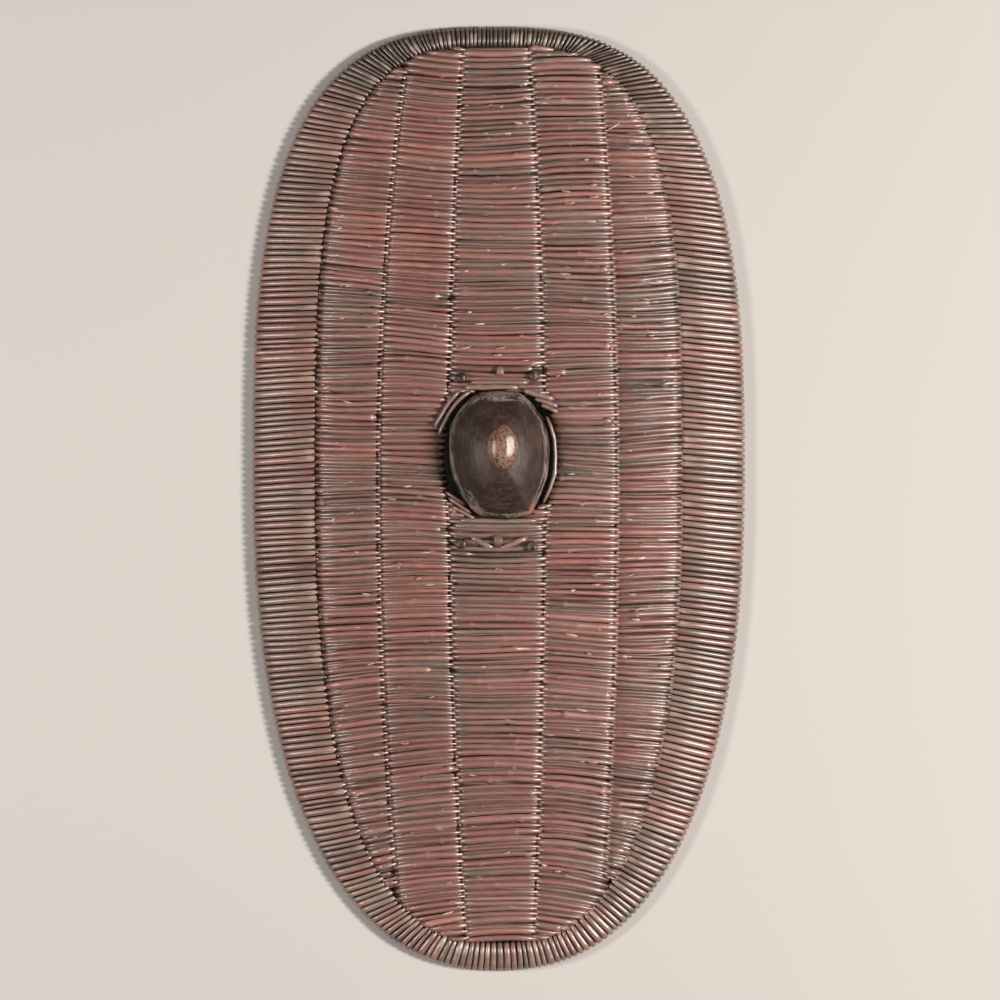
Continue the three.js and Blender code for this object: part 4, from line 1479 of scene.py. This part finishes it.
@dataclass(frozen=True)
class HandledWood:
    """Carved hardwood, black-brown with smoke and waxed by handling.

    To the eye it is dark and softly glossy, with fine tool marks, a greyer band round its edge that is
    partly bruised wear and partly painted sheen, orange wood where chips are fresh, and a nub rubbed down
    to copper brown with a painted white highlight on both its flanks.
    """

    name: str = "handled_hardwood"
    dark: str = "281B16"
    brown: str = "4A362E"
    # Partly bruised wear, partly painted sheen on the edge band.
    bruised_and_sheen: str = "9A8E87"
    rubbed: str = "8E6A5A"
    pits: str = "3A241D"
    # Painted highlight: the white reflections of the lights on the nub's flanks.
    glinting: str = "D8CEC6"
    chipped: str = "B98360"
    roughness: float = 0.5
    tool_mark_mm: float = 1.6
    turning_mm: float = 1.5
    stain_mm: float = 26.0
    grit_per_metre: float = 420.0
    bump: float = 0.5
    bump_depth: float = 0.0008

    def make(self) -> bpy.types.Material:
        """Build the material from masks in the attribute "tone" and from noise in millimetres."""
        material, tree = new_material(self.name)
        tone = add_node(tree, "Attribute", attribute_name="tone")
        mask = add_node(tree, "SeparateColor", {0: tone})
        place = add_node(tree, "TexCoord")
        long_space = add_node(tree, "Mapping", {
            "Vector": place.outputs["Object"], "Scale": (1.0, 0.12, 1.0),
        })
        turned = add_node(tree, "Attribute", attribute_name="grain")
        turned_space = add_node(tree, "Mapping", {
            "Vector": turned.outputs["Vector"], "Scale": (0.03, 0.03, 1 / self.turning_mm),
        })
        marks, stain, grit, turning = (
            add_node(tree, "TexNoise", {"Vector": at, "Scale": scale, "Detail": detail, "Roughness": mix})
            for at, scale, detail, mix in (
                (long_space, 1000 / self.tool_mark_mm / 2, 3.0, 0.5),
                (place.outputs["Object"], 1000 / self.stain_mm, 4.0, 0.6),
                (place.outputs["Object"], self.grit_per_metre, 3.0, 0.7),
                (turned_space, 1.0, 3.0, 0.65),
            )
        )
        cuts = add_node(tree, "Math", {0: marks, 1: turning}, operation="MULTIPLY")
        mixed = add_node(tree, "Math", {0: cuts, 1: 1.6, 2: stain})
        by_mark = add_node(tree, "MapRange", {"Value": mixed, "From Min": 0.76, "From Max": 1.1})
        # The edge band: partly bruised wear, partly painted sheen.
        band_by = add_node(tree, "Math", {0: mask.outputs["Green"], 1: by_mark}, operation="MULTIPLY")
        chip_by = add_node(tree, "Math", {0: mask.outputs["Blue"], 1: grit}, operation="MULTIPLY")
        chip_more = add_node(tree, "Math", {0: chip_by, 1: 1.8}, operation="MULTIPLY", use_clamp=True)
        pitted = add_node(tree, "MapRange", {"Value": grit, "From Min": 0.4, "From Max": 0.52})
        copper = add_node(tree, "Mix", {0: pitted, 6: self.pits, 7: self.rubbed})
        # Painted highlight on the nub's flanks, broken up by the tool marks.
        glint_breakup = add_node(tree, "Math", {0: marks, 1: tone.outputs["Alpha"]}, operation="ADD")
        glint_share = add_node(tree, "MapRange", {"Value": glint_breakup, "From Min": 1.0, "From Max": 1.55})
        layers = (
            (by_mark, self.brown), (band_by, self.bruised_and_sheen), (chip_more, self.chipped),
            (mask.outputs["Red"], copper), (glint_share, self.glinting),
        )
        colour = self.dark
        for share, over in layers:
            colour = add_node(tree, "Mix", {0: share, 6: colour, 7: over})
        rough = add_node(tree, "MapRange", {
            "Value": grit, "To Min": self.roughness - 0.1, "To Max": self.roughness + 0.1,
        })
        bump_sum = add_node(tree, "Math", {0: cuts, 1: 2.0, 2: grit})
        bump = add_node(tree, "Bump", {
            "Strength": self.bump, "Distance": self.bump_depth, "Height": bump_sum,
        })
        shader = add_node(tree, "BsdfPrincipled", {
            "Base Color": colour, "Roughness": rough, "Normal": bump,
            "IOR": 1.5, "Specular IOR Level": 0.5,
        })
        add_node(tree, "OutputMaterial", {"Surface": shader})
        return material


@dataclass(frozen=True)
class PegWood:
    """Whittled hardwood pegs, grey and polished on the heads and black in the cracks."""

    name: str = "whittled_peg_wood"
    dark: str = "241A15"
    grey: str = "7C6A5E"
    roughness: float = 0.34
    split_mm: float = 1.2

    def make(self) -> bpy.types.Material:
        """Build the material: grey heads with dark splits, by noise drawn out along Y."""
        material, tree = new_material(self.name)
        tone = add_node(tree, "Attribute", attribute_name="tone")
        mask = add_node(tree, "SeparateColor", {0: tone})
        place = add_node(tree, "TexCoord")
        space = add_node(tree, "Mapping", {"Vector": place.outputs["Object"], "Scale": (1.0, 0.3, 1.0)})
        splits = add_node(tree, "TexNoise", {
            "Vector": space, "Scale": 1000 / self.split_mm / 2, "Detail": 4.0, "Roughness": 0.65,
        })
        lean = add_node(tree, "Math", {0: mask.outputs["Red"], 1: 0.5, 2: splits})
        head = add_node(tree, "MapRange", {"Value": lean, "From Min": 0.55, "From Max": 0.9})
        colour = add_node(tree, "Mix", {0: head, 6: self.dark, 7: self.grey})
        bump = add_node(tree, "Bump", {"Strength": 0.7, "Distance": 0.0007, "Height": splits})
        shader = add_node(tree, "BsdfPrincipled", {
            "Base Color": colour, "Roughness": self.roughness, "Normal": bump,
        })
        add_node(tree, "OutputMaterial", {"Surface": shader})
        return material


# Each soft box's name, place, side, power and colour.
LIGHTS = (
    ("key_light", (3200, -80, 3150), 850, 244.0, "FFF6EE"),
    ("left_light", (-2350, -140, 2100), 620, 50.0, "FFF6EE"),
    ("top_light", (100, -300, 3000), 1400, 4.0, "FFFFFF"),
)


@dataclass
class Studio:
    """A pale floor, a large soft key from the right, a weak fill from the left, and the camera above."""

    floor_half: float = 3000.0
    floor_colour: str = "C6C4C1"
    sky_colour: str = "F2F2F2"
    sky_strength: float = 0.08
    lens: float = 200.0
    sensor: float = 36.0
    frame_pixels: float = 1000.0
    scale_z: float = 28.0

    def build(self) -> None:
        """Set the floor, lights, world and camera."""
        self.add_floor()
        for light in LIGHTS:
            self.add_light(*light)
        self.set_world()
        self.add_camera()

    def add_floor(self) -> None:
        """Lay a plain pale floor under the shield."""
        material, tree = new_material("matt_pale_floor")
        shader = add_node(tree, "BsdfPrincipled", {"Base Color": self.floor_colour, "Roughness": 0.9})
        add_node(tree, "OutputMaterial", {"Surface": shader})
        h = self.floor_half * METRES
        mesh = bpy.data.meshes.new("floor")
        mesh.from_pydata([(-h, -h, 0), (h, -h, 0), (h, h, 0), (-h, h, 0)], [], [(0, 1, 2, 3)])
        mesh.materials.append(material)
        floor = linked("floor", mesh)

    def add_light(self, name: str, place: tuple, size: float, watts: float, code: str) -> None:
        """Hang a square soft box that faces the shield's middle.

        Args:
            name: the light's name.
            place: where it hangs.
            size: its side.
            watts: its power.
            code: its colour in hex.
        """
        light = bpy.data.lights.new(name, "AREA")
        light.shape = "SQUARE"
        light.size = size * METRES
        light.energy = watts
        light.color = linear(code)[:3]
        lamp = linked(name, light)
        x, y, z = place
        lamp.location = (x * METRES, y * METRES, z * METRES)
        lamp.rotation_euler = (math.atan2(math.hypot(x, y), z), 0.0, math.atan2(x, -y))

    def set_world(self) -> None:
        """Give a dim, even light from all round."""
        world = bpy.data.worlds.new("studio")
        bpy.context.scene.world = world
        world.use_nodes = True
        background = world.node_tree.nodes["Background"]
        background.inputs["Color"].default_value = linear(self.sky_colour)
        background.inputs["Strength"].default_value = self.sky_strength
        bpy.context.scene.view_settings.view_transform = "Standard"

    def add_camera(self) -> None:
        """Look straight down, with the shield as large and as placed as in the photograph."""
        camera_data = bpy.data.cameras.new("camera")
        camera_data.lens = self.lens
        camera_data.sensor_width = self.sensor
        camera_data.clip_end = 100.0
        camera = linked("camera", camera_data)
        distance = self.lens / self.sensor * self.frame_pixels * MM_PER_PIXEL
        x, y = from_photo(self.frame_pixels / 2, self.frame_pixels / 2)
        camera.location = (x * METRES, y * METRES, (self.scale_z + distance) * METRES)
        bpy.context.scene.camera = camera


# Places down the strand on the boss's right, in the photograph's pixels.
RIGHT_LASHING = ((546, 417), (550.5, 427), (554, 439), (555, 456), (554.3, 474), (549.5, 489), (543, 503))

# Each splint's two ends and its half width, in the photograph's pixels.
SPLINTS = (
    (471, 536.5, 494, 549, 2.9),
    (499, 549, 527, 537.5, 3.0),
    (446, 492, 466, 505, 1.7),
    (449, 498, 471, 513, 1.8),
    (452, 506, 476, 519.5, 1.8),
)


def make_columns() -> list[WeaveColumn]:
    """The columns of the weave, with neighbours half a pitch apart."""
    return [
        WeaveColumn("weave_outer_left", OPEN_LEFT, SEAM_OUTER_LEFT, 0.5, 21, redness=0.04),
        WeaveColumn("weave_inner_left", SEAM_OUTER_LEFT, SEAM_INNER_LEFT, 0.0, 22, redness=0.12),
        WeaveColumn("weave_centre_lower", SEAM_INNER_LEFT, SEAM_INNER_RIGHT, 0.5, 23,
                    high=35.0, redness=-0.14, splinters=16, splints=SPLINTS),
        WeaveColumn("weave_centre_upper", SEAM_INNER_LEFT, SEAM_INNER_RIGHT, 0.5, 24,
                    low=71.0, redness=-0.1),
        WeaveColumn("weave_inner_right", SEAM_INNER_RIGHT, SEAM_OUTER_RIGHT, 0.0, 25,
                    redness=-0.1, splinters=48),
        WeaveColumn("weave_outer_right", SEAM_OUTER_RIGHT, OPEN_RIGHT, 0.5, 26,
                    redness=-0.06, splinters=48),
    ]


def make_pegs() -> list[Peg]:
    """The six pegs, as each one's head shows."""
    return [
        Peg("peg_upper_left", -42, 136, 12, 12, 15, 31),
        Peg("peg_upper_middle", 1.7, 143.5, 8.5, 10.5, 0, 38, squareness=4.0),
        Peg("peg_upper_right", 40.7, 138, 11, 11, 40, 34, squareness=3.0),
        Peg("peg_lower_left", -42, -50, 12, 12, 0, 32),
        Peg("peg_lower_middle", -0.6, -46.5, 10, 13, 5, 36),
        Peg("peg_lower_right", 36.7, -53, 12.5, 12, 0, 33),
    ]


def make_lashings() -> list[Lashing]:
    """The loose strands round the boss, each with its own thickness and lightness; the one down the boss's
    right side is drawn lightest, which is painted highlight from the key light.
    """
    return [
        Lashing("lashing_right", points_from_photo(RIGHT_LASHING), 2.1, light=0.75, seed=3,
                joints=(0.27, 0.66)),
        Lashing("lashing_left_inner", bent_plan((114, 5), (163, 11), 2), 2.3, light=0.42, seed=4),
        Lashing("lashing_left_outer", bent_plan((122, 12), (158, 17), 2), 2.2, light=0.5, seed=5),
        Lashing("lashing_shoulder_upper", short_plan((29, 121.5), (62, 111.5), 0.5), 3.0,
                light=0.6, seed=6),
        Lashing("lashing_shoulder_middle", short_plan((41, 112.5), (66, 104.5), 0.5), 2.7,
                light=0.6, seed=7),
        Lashing("lashing_shoulder_lower", short_plan((48, 106), (66, 98), 0.5), 2.6, light=0.55, seed=8),
        Lashing("lashing_above_near", short_plan((-38, 125.4), (23, 125.4), 0.5), 3.0, light=0.5, seed=9),
        Lashing("lashing_above_far", short_plan((-32, 131.2), (34, 130.8), 0.3), 2.6, light=0.4, seed=10),
        Lashing("lashing_below_near", short_plan((-44, -24), (44, -24), -1.0), 2.8, light=0.45, seed=11),
        Lashing("lashing_below_far", short_plan((-50, -30), (50, -30.5), -0.5), 2.8, light=0.42, seed=12),
    ]


def main() -> None:
    """Build the finishes, the pieces and the studio, in order."""
    cane = SmokedCane().make()
    rim_cane = SmokedCane(
        name="weathered_rim_cane",
        palette=("776C63", "7E6C62", "856C62", "8A675E", "8A5F57", "927165"),
    ).make()
    lashing_cane = SmokedCane(
        name="bare_lashing_cane",
        palette=("5F524A", "6E5D55", "7C6A61", "84695F", "7C5E55", "927A6C"),
    ).make()
    wood = HandledWood().make()
    peg_wood = PegWood().make()
    for column in make_columns():
        column.build(cane)
    Rim().build(rim_cane)
    Boss().build(wood)
    Grip().build(wood)
    for peg in make_pegs():
        peg.build(peg_wood)
    for lashing in make_lashings():
        lashing.build(lashing_cane)
    Studio().build()


if __name__ == "__main__":
    main()
